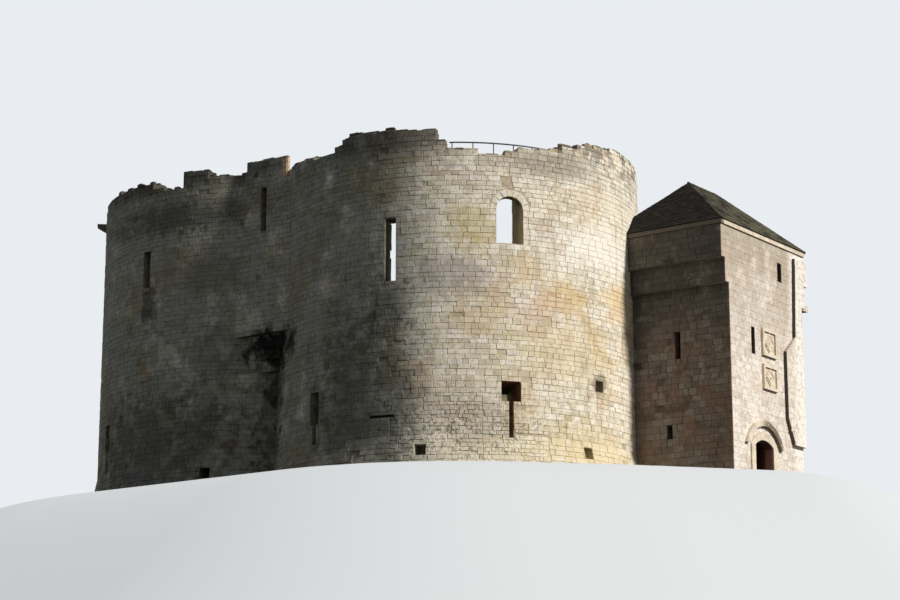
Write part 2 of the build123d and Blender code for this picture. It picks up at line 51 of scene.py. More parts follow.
# %% Sizes
LOBE = 7.7
OFFSET = 5.15
ROOM = 5.0
MIDDLE = 6.75
WALK = 12.4
PARAPET_INSIDE = 6.85
PARAPET = 1.82
HIGHEST = WALK + PARAPET
PLINTH = 1.5
SPREAD = 0.35
FLOOR = 0.2
REENTRANT = OFFSET + sqrt(LOBE**2 - OFFSET**2)
GATE_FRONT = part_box("front_wall_upper")[0].y
GATE_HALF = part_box("front_wall_east")[1].x
FIRST_STAGE = 8.1
SECOND_STAGE = 9.1
EAVES = 10.65
TURRET_BASE = 6.6
TURRET_TOP = 14.1
CENTRES = {"sw": (-OFFSET, -OFFSET), "nw": (-OFFSET, OFFSET), "ne": (OFFSET, OFFSET), "se": (OFFSET, -OFFSET)}
ARC_START = {"sw": 138.03, "nw": 48.03, "ne": -41.97, "se": 228.03}
ARC = 173.94
ROOM_MIDDLE = {"sw": 225.0, "nw": 135.0, "ne": 45.0, "se": 315.0}
TURRET_ENDS = {"sw": (True, False), "nw": (True, True), "ne": (True, True), "se": (False, True)}
TURRET_WAYS = ((-1, 0), (0, 1), (1, 0))
print("the lobes meet", round(REENTRANT, 3), "m from the middle")

# %% [markdown]
# The openings and the broken tops are where the solids have them, and the stones stop at their edges. An
# opening has an angle in each lobe that has it, a width and two levels for each part of its outer face,
# and one wider mouth in the room behind.

# %% Openings and broken tops
WINDOW_HALF = 0.55
WINDOW_SILL = 9.17
WINDOW_SPRING = 10.55
ARCH_RING = 0.27
HOLE = 0.45
WINDOWS = {"sw": 231.5, "nw": 128.5, "ne": 51.5, "se": 308.5}
PORTS = {"sw": 231.6, "nw": 97.0, "ne": 83.0, "se": 308.4}
LOOPS = {"sw": 167.9, "nw": 153.0, "ne": 27.0, "se": 372.1}
OPENINGS = (
    ({"sw": 195.7, "se": 344.3}, ((0.45, 7.7, 10.25),), (2.24, 7.7, 10.85)),
    ({"nw": 175.0, "ne": 5.0}, ((0.42, 9.2, 10.8),), (1.08, 9.2, 10.8)),
    (WINDOWS, ((2 * WINDOW_HALF, WINDOW_SILL, WINDOW_SPRING),), (1.9, WINDOW_SILL, 11.9)),
    (PORTS, ((0.79, 2.83, 3.62), (0.19, 1.4, 2.83)), (1.36, 1.4, 3.62)),
    (LOOPS, ((0.54, 2.29, 3.61), (0.24, 1.5, 2.29)), (0.97, 1.5, 3.61)),
)
HOLES = {"sw": ((205.2, 0.67), (257.2, 0.8), (263.0, 3.6)), "nw": ((200.0, 0.7), (114.0, 0.7)),
         "ne": ((66.0, 0.7),), "se": ((282.0, 0.74), (334.8, 0.67))}
# where each stretch of a parapet ends, and how much of its full height is left
BROKEN_TOPS = {
    "sw": ((166, 0.6), (175.5, 0.52), (178.5, 0.66), (181, 0.8), (197, 0.84), (209.6, 0.775), (212.5, 0.5),
           (222, 0.34), (230, 0.21), (234, 0.3), (241, 0.4), (249, 0.45), (255, 0.59), (262, 0.71),
           (270, 0.8), (282, 0.86), (290, 0.85), (300, 0.8), (312, 0.58)),
    "nw": ((64, 0.6), (80, 0.77), (98, 0.69), (112, 0.85), (128, 0.72), (140, 0.7), (152, 0.83), (165, 0.8),
           (177, 0.775), (182, 0.62), (189.4, 0.53), (198.5, 0.885), (222, 0.71)),
    "ne": ((-28, 0.71), (-12, 0.58), (4, 0.82), (16, 0.71), (34, 0.52), (52, 0.8), (70, 0.88), (86, 0.66),
           (104, 0.77), (120, 0.6), (132, 0.69)),
    "se": ((235.5, 0.06), (241, 0.32), (254, 0.56), (270, 0.6), (286, 0.54), (300, 0.5), (318, 0.69),
           (334, 0.85), (350, 0.77), (364, 0.6), (378, 0.8), (390, 0.69), (402, 0.77)),
}


def tops_of(lobe):
    """The stretches of a broken parapet: start angle, end angle and top level."""
    starts = [ARC_START[lobe]] + [end for end, share in BROKEN_TOPS[lobe]]
    return [(start, end, WALK + share * PARAPET) for start, (end, share) in zip(starts, BROKEN_TOPS[lobe])]


print("stretches of broken parapet:", sum(len(tops_of(lobe)) for lobe in CENTRES))

# %% [markdown]
# ## Camera
# The photograph is taken from far below, so the camera is 12.7 m under the foot of the walls and looks up
# by 13 degrees. A long lens from that place fills the frame with the keep and keeps its perspective.


# %% Camera
def put(name, data):
    """Puts an object with its data into the scene."""
    made = bpy.data.objects.new(name, data)
    scene.collection.objects.link(made)
    return made


AIM_AZIMUTH = 53.757
AIM_PITCH = 13.114
FRAME_WIDTH = 900
FOCAL_PIXELS = 2196
camera = put("camera", bpy.data.cameras.new("camera"))
camera.data.sensor_width = 36.0
camera.data.lens = 36.0 * FOCAL_PIXELS / FRAME_WIDTH
camera.data.clip_end = 600.0
camera.location = (-79.11, -58.94, -12.7)
camera.rotation_euler = (radians(90 + AIM_PITCH), 0, radians(-AIM_AZIMUTH))
scene.camera = camera
print("lens", round(camera.data.lens, 1), "mm")

# %% [markdown]
# ## One helper for every node
# Materials and Geometry Nodes are both trees of nodes. This function adds a node, sets its properties,
# fills its inputs, and writes the stops of a colour ramp. Where an input is given a node, its first output
# is linked. Colours are hex values as picked on screen, and one function turns them to linear light.


# %% Helpers for colours and nodes
def linear(hex_colour):
    """A screen colour such as "#d8c9a4" as linear red, green, blue and alpha."""
    parts = [int(hex_colour[i:i + 2], 16) / 255 for i in (1, 3, 5)]
    return [v / 12.92 if v <= 0.04045 else ((v + 0.055) / 1.055) ** 2.4 for v in parts] + [1.0]


def add(tree, kind, inputs=None, stops=None, **settings):
    """Adds a node with its settings, its inputs as values, sockets or nodes, and the stops of its ramp.
    The kind of a math node is followed by its operation, such as "Math ADD"."""
    kind, _, operation = kind.partition(" ")
    made = tree.nodes.new(kind if "Node" in kind else "ShaderNode" + kind)
    if operation:
        made.operation = operation
    for name, value in settings.items():
        setattr(made, name, value)
    for key, value in (inputs or {}).items():
        if isinstance(value, bpy.types.Node):
            value = value.outputs[0]
        if isinstance(value, bpy.types.NodeSocket):
            tree.links.new(value, made.inputs[key])
        else:
            made.inputs[key].default_value = value
    if stops:
        ramp = made.color_ramp
        while len(ramp.elements) < len(stops):
            ramp.elements.new(0.5)
        for element, (position, colour) in zip(ramp.elements, stops.items()):
            element.position = position
            element.color = linear(colour)
    return made


# %% [markdown]
# ## Stone finishes
# The walls are magnesian limestone, a pale cream stone that weathers to ochre, pink and grey. Each block
# differs a little from its neighbour, patches of bloom and lichen cover several blocks, and the side away
# from the sun is painted darker, partly with damp and partly as painted shade. The finish is built in that
# order, and each layer has its real size.

# %% Layers of a finish
GRAIN_MM = 55
BLOTCH_MM = 420
PIT_MM = 130
WAYS = {"X": (1, 0, 0), "Y": (0, 1, 0), "Z": (0, 0, 1), "lee": (-0.8, 0.6, 0), "past hip": (0.4, -0.345, 0),
        "east": (1, 0, 0), "up": (0, 0, 1)}


def coat(tree, under, coord, size_mm, limits, most, colour, within=1.0, blend="MIX", stretch=(1, 1, 1)):
    """Lays a colour over another in random patches of a real size, as far as a mask lets it."""
    drawn = add(tree, "VectorMath MULTIPLY", {0: coord, 1: stretch})
    noise = add(tree, "TexNoise", {"Vector": drawn, "Scale": 1000 / size_mm, "Detail": 4.0, "Roughness": 0.6})
    patch = add(tree, "MapRange", {0: noise, 1: limits[0], 2: limits[1], 4: most},
                interpolation_type="SMOOTHSTEP")
    mask = add(tree, "Math MULTIPLY", {0: patch, 1: within})
    mixed = add(tree, "Mix", {0: mask, 6: under, 7: linear(colour)}, data_type="RGBA", blend_type=blend)
    return mixed.outputs[2]


def fade(tree, coord, way, none_at, all_at):
    """A mask that comes in between two places along a way, or as a face turns east or up."""
    source = add(tree, "NewGeometry").outputs["Normal"] if way in ("east", "up") else coord
    far = add(tree, "VectorMath DOT_PRODUCT", {0: source, 1: WAYS[way]}).outputs["Value"]
    return add(tree, "MapRange", {0: far, 1: none_at, 2: all_at})


def coated(tree, colour, coord, coats):
    """Lays coats in turn. A coat is its patch size, limits, strength and colour, and how it fades in."""
    for size_mm, limits, most, paint, *way in coats:
        within = fade(tree, coord, *way) if way else 1.0
        colour = coat(tree, colour, coord, size_mm, limits, most, paint, within)
    return colour


def spot(tree, coord, ragged, centre, reach, most=1.0):
    """A mask round a point: most near it, 0 at its reach, with an edge broken up by noise."""
    away = add(tree, "VectorMath SUBTRACT", {0: coord, 1: centre})
    share = add(tree, "VectorMath DIVIDE", {0: away, 1: reach})
    far = add(tree, "VectorMath LENGTH", {0: share}).outputs["Value"]
    worn = add(tree, "Math ADD", {0: far, 1: ragged})
    return add(tree, "MapRange", {0: worn, 1: 1.25, 2: 0.45, 4: most}, interpolation_type="SMOOTHSTEP")


def tint_round_point(tree, under, coord, ragged, centre, reach, colour, most):
    """Tips the colour round a point of the wall towards another."""
    mask = spot(tree, coord, ragged, centre, reach, most)
    return add(tree, "Mix", {0: mask, 6: under, 7: linear(colour)}, data_type="RGBA").outputs[2]


def around(lobe, radius, angle, level):
    """A point round the middle of a lobe, at an angle in radians."""
    x, y = CENTRES[lobe]
    return (x + radius * cos(angle), y + radius * sin(angle), level)


# %% [markdown]
# Each stain of the side in view is an angle and a level on a lobe, its reach sideways and upwards in
# metres, a colour and a strength. They are few and soft, and only tip the random pattern one way or the
# other. A pale one low down is painted light, and dark ones low on the shaded side are painted shade.
# Under the west turret the angle is painted nearly black as shade, fading into a darker band down the
# wall below. Old fires have reddened the square port, but only inside: that mask counts how deep a place
# lies behind the face.

# %% Stains of the weathered side
LOBE_STAINS_AND_PAINTED_LIGHT_AND_SHADE = {
    "sw": (
        (237, 8.1, 0.9, 0.7, "#dcc192", 0.45), (249, 7.1, 1.5, 0.8, "#dfc088", 0.5),
        (275, 7.5, 1.3, 1.0, "#ecd09e", 0.5), (250, 5.0, 3.0, 1.4, "#e3cf9f", 0.4),
        (264, 9.5, 2.4, 1.2, "#f8f4ea", 0.75), (276, 11.2, 2.6, 1.5, "#f1ead8", 0.55),
        (214, 7.8, 1.6, 1.0, "#aca6a2", 0.55), (221, 9.7, 1.0, 1.1, "#cfc083", 0.45),
        (240, 6.5, 1.2, 0.8, "#d9bfae", 0.4), (246, 12.6, 2.2, 0.6, "#8f8878", 0.5),
        (196, 13.7, 3.6, 0.9, "#544c40", 0.7), (263, 3.9, 0.5, 0.5, "#8d8679", 0.7),
        (228, 0.9, 4.6, 0.55, "#e6dcc2", 0.6), (258, 1.2, 3.0, 1.3, "#dcc793", 0.45),
        # The pale stain at 199 degrees low down is painted light: it lights the foot past the edge of the
        # shade.
        (218, 2.0, 2.0, 1.3, "#aaa08c", 0.4), (199, 1.6, 2.3, 1.5, "#fbf1e0", 0.8),
        # The dark stain at 186 degrees low down is painted shade, deepening the foot of the shaded side.
        (196, 6.9, 0.9, 1.4, "#5f624a", 0.45), (186, 2.6, 2.6, 4.5, "#4a4940", 0.55)),
    "nw": (
        # The dark stain at 180 degrees low down is painted shade, deepening the foot of the shaded side.
        (176, 8.4, 0.5, 1.0, "#47443a", 0.7), (180, 2.2, 5.0, 2.8, "#4f4d45", 0.55),
        (199, 9.5, 1.5, 1.2, "#b9b3a2", 0.5), (204, 6.0, 1.4, 1.2, "#a9a392", 0.5),
        (186, 12.1, 4.5, 0.8, "#5a5750", 0.6), (182, 14.0, 5.5, 0.8, "#403d39", 0.75)),
}
STAINS_AND_PAINTED_LIGHT_AND_SHADE = [(around(lobe, LOBE, radians(angle), level), (wide, wide, high), colour, most)
          for lobe, rows in LOBE_STAINS_AND_PAINTED_LIGHT_AND_SHADE.items() for angle, level, wide, high, colour, most in rows]
# Painted shade: the angle under the west turret's corbels is painted nearly black, fading into a darker band
# down the wall below.
STAINS_AND_PAINTED_LIGHT_AND_SHADE += [
    ((-11.6, -0.4, 5.95), (1.6, 1.5, 0.72), "#0d0c0b", 0.97),
    ((-11.5, -0.35, 6.05), (1.35, 1.25, 0.8), "#0d0c0b", 0.95),
    (around("sw", LOBE, radians(152), 6.1), (0.8, 0.8, 0.7), "#141311", 0.85),
    ((-11.2, -0.2, 4.4), (1.4, 0.9, 1.8), "#1e1c19", 0.8),
    ((-11.2, 0.0, 2.2), (1.3, 0.8, 1.8), "#45423a", 0.5),
]
# Painted light: the turret's corner that stands in the sun is painted paler and warmer, laid over the painted
# shade so that it stays bright.
SUNLIT_CORNER = ((-11.9, -1.25, 13.7), (0.5, 0.3, 0.6), "#dfc4a0", 0.85)
BURNT_PORT = (around("sw", LOBE, radians(PORTS["sw"]), 3.0), (1.5, 1.5, 1.4))
ROBBED_FOOT = (around("sw", LOBE, radians(214), 1.7), (4.6, 4.6, 1.5))
print("stains:", len(STAINS_AND_PAINTED_LIGHT_AND_SHADE))


def weather_and_painted_light(tree, colour, coord, blotch):
    """The stains, painted light and shade, the damp and painted shade of the north-west side, the crust under
    the wall top and the streaks of rain.
    """
    ragged = add(tree, "MapRange", {0: blotch, 1: 0.3, 2: 0.7, 3: -0.45, 4: 0.45})
    colour = coat(tree, colour, coord, 900, (0.5, 0.64), 0.3, "#b9a67e", stretch=(0.3, 0.3, 2.6))
    for centre, reach, paint, most in STAINS_AND_PAINTED_LIGHT_AND_SHADE:
        colour = tint_round_point(tree, colour, coord, ragged, centre, reach, paint, most)
    flat = add(tree, "VectorMath MULTIPLY", {0: coord, 1: (1, 1, 0)})
    far = add(tree, "VectorMath DISTANCE", {0: flat, 1: (-OFFSET, -OFFSET, 0)}).outputs["Value"]
    behind = add(tree, "MapRange", {0: far, 1: LOBE - 0.01, 2: LOBE - 0.06})
    burnt = add(tree, "Math MULTIPLY", {0: spot(tree, coord, ragged, *BURNT_PORT), 1: behind})
    colour = coat(tree, colour, coord, 300, (0.0, 0.2), 0.95, "#8f604c", burnt)
    gaps = spot(tree, coord, ragged, *ROBBED_FOOT)
    colour = coat(tree, colour, coord, 150, (0.54, 0.61), 0.5, "#4e4638", gaps)
    # The side away from the sun is painted darker: partly damp, partly painted shade.
    damp_and_painted_shade = fade(tree, coord, "lee", 3.9, 5.7)
    colour = coat(tree, colour, coord, 1500, (0.2, 0.5), 1.0, "#aeb4b4", damp_and_painted_shade, "MULTIPLY")
    colour = coat(tree, colour, coord, 900, (0.52, 0.66), 0.35, "#b8b4a6", damp_and_painted_shade)
    colour = tint_round_point(tree, colour, coord, ragged, *SUNLIT_CORNER)
    crust = fade(tree, coord, "Z", 11.6, 14.0)
    colour = coat(tree, colour, coord, BLOTCH_MM, (0.45, 0.58), 0.75, "#635e53", crust)
    return coat(tree, colour, coord, 380, (0.56, 0.74), 0.25, "#8c8573", stretch=(1, 1, 0.12))


# %% [markdown]
# Every finish ends in the same shader, which takes its colour and its relief. Limestone starts from the
# tone of the block, or from a tone that wanders where there are no blocks. Coats, weather with its painted
# light and shade, grain and pits come over it.


# %% Limestone
def new_finish(name):
    """A material, its tree, and the coordinates that its patterns are drawn in."""
    material = bpy.data.materials.new(name)
    material.use_nodes = True
    return material, material.node_tree, add(material.node_tree, "TexCoord").outputs["Object"]


def shade(tree, colour, height, strength, bump_mm, roughness, specular):
    """Gives the shader its colour and relief. What is the same all over is set on it."""
    bump = add(tree, "Bump", {"Strength": strength, "Distance": bump_mm / 1000, "Height": height})
    shader = tree.nodes["Principled BSDF"]
    shader.inputs["Roughness"].default_value = roughness
    shader.inputs["Specular IOR Level"].default_value = specular
    tree.links.new(colour, shader.inputs["Base Color"])
    tree.links.new(bump.outputs["Normal"], shader.inputs["Normal"])


def limestone(name, stops, toned, bump_mm, roughness, coats=(), with_weather_and_painted_light=False):
    """Limestone in a range of tones, with its coats, its weather with painted light and shade, its grain and
    its pits.
    """
    material, tree, coord = new_finish(name)
    blotch = add(tree, "TexNoise", {
        "Vector": coord, "Scale": 1000 / BLOTCH_MM, "Detail": 4.0, "Roughness": 0.65})
    grain = add(tree, "TexNoise", {
        "Vector": coord, "Scale": 1000 / GRAIN_MM, "Detail": 5.0, "Roughness": 0.7})
    low, high = (-0.3, 0.3) if toned else (0.0, 1.0)
    tone = add(tree, "MapRange", {0: blotch, 1: 0.3, 2: 0.7, 3: low, 4: high})
    if toned:
        own = add(tree, "Attribute", attribute_name="tone").outputs["Fac"]
        tone = add(tree, "Math ADD", {0: own, 1: tone}, use_clamp=True)
    colour = coated(tree, add(tree, "ValToRGB", {0: tone}, stops), coord, coats)
    if with_weather_and_painted_light:
        colour = weather_and_painted_light(tree, colour, coord, blotch)
    grey = add(tree, "ValToRGB", {0: grain}, {0.3: "#4a4a4a", 0.7: "#b8b8b8"})
    mixed = add(tree, "Mix", {0: 0.35, 6: colour, 7: grey}, data_type="RGBA", blend_type="SOFT_LIGHT")
    pits = add(tree, "TexVoronoi", {"Vector": coord, "Scale": 1000 / PIT_MM}, feature="F1")
    deep = add(tree, "MapRange", {0: pits, 1: 0.18, 2: 0.09})
    holes = add(tree, "Math MULTIPLY", {0: deep, 1: blotch})
    mixed = add(tree, "Mix", {0: holes, 6: mixed.outputs[2], 7: linear("#5d5443")}, data_type="RGBA")
    relief = add(tree, "Math SUBTRACT", {0: grain, 1: holes})
    relief = add(tree, "Math MULTIPLY_ADD", {0: blotch, 1: 0.8, 2: relief})
    shade(tree, mixed.outputs[2], relief, 0.9, bump_mm, roughness, 0.1)
    return material


# %% [markdown]
# The finishes differ in how the stone was worked. Ashlar is squared block by block, so each block has its
# own tone. Mortar and rubble core fill the joints and show where a block is lost, so they are darker and
# rougher. A coat may fade in along an axis, or as a face turns east or up: undersides, and flanks that
# face west, are painted dark as shade.

# %% Stone materials of the keep
WALL_COATS = (
    (2600, (0.5, 0.66), 0.5, "#d9bd88"), (1900, (0.52, 0.66), 0.6, "#f3ecdd"),
    (1300, (0.52, 0.68), 0.4, "#cdb6a8"), (500, (0.54, 0.7), 0.35, "#a69f8c"),
    (110, (0.54, 0.64), 0.4, "#91866e"))
# Squared magnesian limestone blocks: every block takes one tone of a narrow range of cream.
ashlar = limestone("squared_limestone_ashlar", {
    0.0: "#d5ccba", 0.15: "#e4dbc9", 0.4: "#eee6d5", 0.6: "#f0e7d2", 0.8: "#f4eddf", 0.93: "#f8f4ea",
    1.0: "#e1d9cd"}, True, 14, 0.92, WALL_COATS, True)
# Lime mortar and rubble core: sandy, duller than the blocks, with deep pits, and painted dark as shade on its
# undersides.
core = limestone("lime_mortar_and_rubble", {0.0: "#afa48c", 0.4: "#cbbfa4", 0.75: "#d9cdb4", 1.0: "#bcb198"},
                 False, 30, 0.96, WALL_COATS[2:] + (
                     (300, (0.05, 0.3), 0.85, "#37332b", "up", -0.2, -0.6),), True)
# Broken core stones on the wall tops: grey and dark with lichen.
rubble = limestone("lichened_rubble", {
    0.0: "#7c7566", 0.3: "#968e7c", 0.6: "#aea48d", 0.85: "#c3b79c", 1.0: "#ddd0b2"}, True, 22, 0.96,
    ((260, (0.46, 0.6), 0.6, "#6b6455"),), True)
# Worn flagstones underfoot, greyer than the walls, and gravel rammed hard in their joints.
flags = limestone("worn_flagstone", {0.0: "#6f6b60", 0.35: "#878273", 0.7: "#9b9583", 1.0: "#b0a994"},
                  True, 6, 0.8, ((800, (0.48, 0.66), 0.5, "#77725f"),))
gravel = limestone("rammed_gravel", {0.0: "#6b6557", 0.5: "#8a8270", 1.0: "#9d9580"}, False, 12, 0.95,
                   ((90, (0.5, 0.6), 0.6, "#5f5a4c"),))
print("stone materials of the keep:", len(bpy.data.materials))

# %% Stone materials of the gate tower
# Its front: the same stone, paler and pinker where the sun bleaches it.
FRONT_COATS = (
    (1100, (0.25, 0.55), 0.85, "#b8ab97", "Z", 4.8, 9.5), (900, (0.54, 0.7), 0.3, "#e2c6ae"),
    (600, (0.2, 0.45), 0.8, "#f8f3ea", "X", 2.0, 2.5))
front_ashlar = limestone("sun_bleached_limestone_ashlar", {
    0.0: "#d9cdc0", 0.2: "#e4dace", 0.5: "#ebe3d9", 0.8: "#f1eae2", 1.0: "#e0d4c8"}, True, 12, 0.9,
    FRONT_COATS + ((190, (0.51, 0.62), 0.4, "#a3957f"),))
# Its mortar is as pale as its stones. On the flanks that face west, away from the sun, and on its undersides
# it is painted dark as shade.
PALE_MORTAR = {0.0: "#cbbfb0", 0.5: "#ddd2c4", 1.0: "#cfc3b5"}
# Undersides painted dark as shade.
PAINTED_UNDERSIDE_SHADE = (300, (0.05, 0.3), 0.8, "#7c7368", "up", -0.2, -0.6)
front_core = limestone("pale_lime_mortar", PALE_MORTAR, False, 16, 0.94, FRONT_COATS + (
    (300, (0.05, 0.3), 0.9, "#3b342b", "east", -0.5, -0.9), PAINTED_UNDERSIDE_SHADE))
# The same mortar in the doorway: reddened by fire on its flank, and painted dark as shade on its soffit and
# in its depth.
doorway_core = limestone("pale_mortar_with_painted_shade", PALE_MORTAR, False, 16, 0.94, FRONT_COATS + (
    (300, (0.05, 0.3), 0.9, "#b07a62", "east", -0.5, -0.9),
    (300, (0.05, 0.3), 0.95, "#33201a", "up", -0.2, -0.6),
    (400, (0.05, 0.25), 1.0, "#5a3a2c", "Y", -16.9, -16.4)))
# The sheltered side: brown and grey, reddened low down by old fire. Stone and mortar are much darker than on
# the front, partly weathering and partly painted shade of the side away from the sun, and the mortar is
# darker than its stones. Low down it is painted lighter, as light thrown up from the ground; high up it is
# darker and greyer.
SHELTER_COATS = (
    (1200, (0.42, 0.6), 0.7, "#9a7a66", "Z", 7.2, 4.6), (700, (0.5, 0.66), 0.5, "#5b5249"),
    (500, (0.4, 0.6), 0.6, "#b3a594", "Z", 3.0, 0.5), (900, (0.25, 0.5), 0.72, "#56524b", "Z", 5.5, 8.0))
shelter_ashlar = limestone("fire_reddened_ashlar_with_painted_shade", {
    0.0: "#82786d", 0.3: "#92887c", 0.6: "#9d9387", 0.85: "#a89e92", 1.0: "#887b70"}, True, 12, 0.93,
    SHELTER_COATS)
shelter_core = limestone("lime_mortar_with_painted_shade", {0.0: "#564e44", 0.5: "#6b6256", 1.0: "#5c544a"}, False, 20,
                         0.96, SHELTER_COATS + (PAINTED_UNDERSIDE_SHADE,))
# Finely dressed limestone for frames and copings: cut fine, cleaner, with crisp edges.
DRESSED = {0.0: "#cfc0aa", 0.45: "#e0d3bf", 0.8: "#eae0ce", 1.0: "#d3c3ae"}
# West of the gate's side, and on its undersides, dressed stone is painted dark as shade.
DRESSED_COATS = (
    (700, (0.52, 0.68), 0.45, "#b3a695"), (500, (0.1, 0.35), 0.9, "#6a6156", "X", -3.3, -3.45),
    (300, (0.05, 0.3), 0.8, "#4d443b", "up", -0.5, -0.9))
dressed = limestone("dressed_limestone", DRESSED, False, 7, 0.85, DRESSED_COATS)
# The hood over the doorway is the same stone, under dark lichen where it turns away to the east.
hood_stone = limestone("lichened_dressed_limestone", DRESSED, False, 10, 0.9, DRESSED_COATS + (
    (260, (0.3, 0.52), 0.85, "#5f5547", "X", -0.9, -0.4),))
print("with those of the gate tower:", len(bpy.data.materials))

# %% [markdown]
# ## Roof tile, oak and painted iron
# The roof is small plain tiles, fired dark. On the sunny slope they are painted lighter, partly moss and
# partly painted light. The floors of the upper rooms are rough sawn oak, and the hand rail is round iron
# tube under black paint. A speck of tile, a fibre of oak and a fleck of paint give the patterns their sizes.


# %% Roof, oak and iron materials
def grained(name, stops, toned, size_mm, stretch, bump_mm, roughness, specular=0.5, coats=()):
    """A material whose colour follows each piece's own tone and the grain of the stuff it is made of."""
    material, tree, coord = new_finish(name)
    drawn = add(tree, "VectorMath MULTIPLY", {0: coord, 1: stretch})
    grain = add(tree, "TexNoise", {"Vector": drawn, "Scale": 1000 / size_mm, "Detail": 4.0, "Roughness": 0.6})
    tone = grain
    if toned:
        own = add(tree, "Attribute", attribute_name="tone").outputs["Fac"]
        both = add(tree, "Math MULTIPLY_ADD", {0: own, 1: 0.6, 2: grain})
        tone = add(tree, "MapRange", {0: both, 1: 0.35, 2: 1.25})
    colour = coated(tree, add(tree, "ValToRGB", {0: tone}, stops).outputs[0], coord, coats)
    shade(tree, colour, grain, 0.6, bump_mm, roughness, specular)
    return material


# Plain clay tiles, burnt dark, each with its own tone. South of the west hip, where the sun falls, they are
# painted lighter: partly moss and dust, partly painted light.
tile = grained("dark_fired_clay_tile", {
    0.0: "#191816", 0.35: "#201e1b", 0.6: "#26231f", 0.85: "#302b26", 1.0: "#1f201e"}, True, 90, (1, 1, 1), 6,
    0.88, 0.1, ((900, (0.38, 0.56), 0.88, "#5a5942", "past hip", 4.4, 4.55),
                (500, (0.44, 0.62), 0.6, "#6b6357", "past hip", 4.4, 4.55)))
# Rough sawn oak, greyed by damp, with the grain along the boards.
oak = grained("rough_sawn_oak", {0.0: "#2f251c", 0.5: "#54432f", 1.0: "#7a6850"}, True, 36, (1, 0.06, 1),
              3, 0.75)
# Black paint on iron tube, chalky from weather, with a few rust freckles.
iron = grained("black_painted_iron", {0.35: "#26282a", 0.6: "#303234", 0.68: "#5b3a25"}, False, 40,
               (1, 1, 1), 1, 0.45)
print("all materials:", len(bpy.data.materials))

# %% [markdown]
# ## The solids get their finish
# A solid whose shape is right keeps it. Most of the wall solids show only in the joints between the
# stones and inside the openings, so they take the mortar and core finish. The last row that fits counts.

# %% Finishes of the CAD nodes
FINISHES = (
    (("_plinth", "_wall", "_parapet", "_turret", "entrance_wall"), core),
    (("front_wall", "buttress"), front_core),
    (("front_wall_west", "front_wall_east", "door_head"), doorway_core),
    (("gate_west_wall",), shelter_core),
    (("door_surround", "door_step", "panel", "coping", "spout", "bracket"), dressed),
    (("door_hood",), hood_stone),
    (("courtyard_floor", "passage_floor"), gravel),
    (("chapel_floor", "loft_floor"), oak),
    (("gate_roof",), tile),
    (("walk_rail",), iron),
)
for name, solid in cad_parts.items():
    for endings, material in FINISHES:
        if any(ending in name for ending in endings):
            solid.data.materials.clear()
            solid.data.materials.append(material)
print("solids finished:", len(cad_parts))

# %% [markdown]
# ## Laying stones with Geometry Nodes
# Masonry repeats by a rule: courses of one height, stones of varied length, joints that never line up.
# A plain list of rectangles on the wall says where each stone goes. One Geometry Nodes tree then turns
# every rectangle into a closed stone: it takes a random relief, pushes the face out of the wall, pushes it
# a little further with a smaller front for the worn edge, and closes the back. The same tree lays ashlar,
# flagstones, boards and roof tiles, only with other sizes.

# %% The tree that turns rectangles into stones
STONE_SIZES = ("Bed", "Relief Low", "Relief High", "Edge Depth", "Edge Share")


def new_tree(name, sizes):
    """A tree with an input for each named size, the seed of what is random and the finish."""
    tree = bpy.data.node_groups.new(name, "GeometryNodeTree")
    floats = [(size, "Float") for size in sizes]
    for socket, kind in (("Geometry", "Geometry"), *floats, ("Seed", "Int"), ("Finish", "Material")):
        tree.interface.new_socket(socket, in_out="INPUT", socket_type="NodeSocket" + kind)
    tree.interface.new_socket("Geometry", in_out="OUTPUT", socket_type="NodeSocketGeometry")
    return tree, add(tree, "NodeGroupInput").outputs


def end_tree(tree, given, geometry):
    """Ends a tree. The export drops instances, so they are made real."""
    real = add(tree, "GeometryNodeRealizeInstances", {0: geometry})
    finished = add(tree, "GeometryNodeSetMaterial", {"Geometry": real, "Material": given["Finish"]})
    add(tree, "NodeGroupOutput", {0: finished})
    return tree


def stone_tree():
    """The tree that makes a closed stone of every face of a mesh."""
    tree, given = new_tree("laid_stones", STONE_SIZES)
    second_seed = add(tree, "Math ADD", {0: given["Seed"], 1: 17.0})
    tone = add(tree, "FunctionNodeRandomValue", {2: 0.0, 3: 1.0, "Seed": given["Seed"]})
    relief = add(tree, "FunctionNodeRandomValue", {
        2: given["Relief Low"], 3: given["Relief High"], "Seed": second_seed})
    give = add(tree, "GeometryNodeInputNamedAttribute", {"Name": "give"})
    lift = add(tree, "Math MULTIPLY_ADD", {0: relief.outputs[1], 1: give, 2: given["Bed"]})
    toned = add(tree, "GeometryNodeStoreNamedAttribute", {
        "Geometry": given["Geometry"], "Name": "tone", "Value": tone.outputs[1]}, domain="FACE")
    body = add(tree, "GeometryNodeExtrudeMesh", {"Mesh": toned, "Offset Scale": lift, "Individual": True})
    front = add(tree, "GeometryNodeExtrudeMesh", {
        "Mesh": body, "Selection": body.outputs["Top"], "Offset Scale": given["Edge Depth"],
        "Individual": True})
    worn = add(tree, "GeometryNodeScaleElements", {
        "Geometry": front, "Selection": front.outputs["Top"], "Scale": given["Edge Share"]})
    back = add(tree, "GeometryNodeFlipFaces", {"Mesh": toned})
    both = add(tree, "GeometryNodeJoinGeometry", {0: worn})
    tree.links.new(back.outputs[0], both.inputs[0])
    closed = add(tree, "GeometryNodeMergeByDistance", {"Geometry": both, "Distance": 0.0004})
    return end_tree(tree, given, closed)


def new_mesh(name, corners, edges, faces):
    """An object with a mesh of these corners, edges and faces."""
    made = put(name, bpy.data.meshes.new(name))
    made.data.from_pydata(corners, edges, faces)
    return made


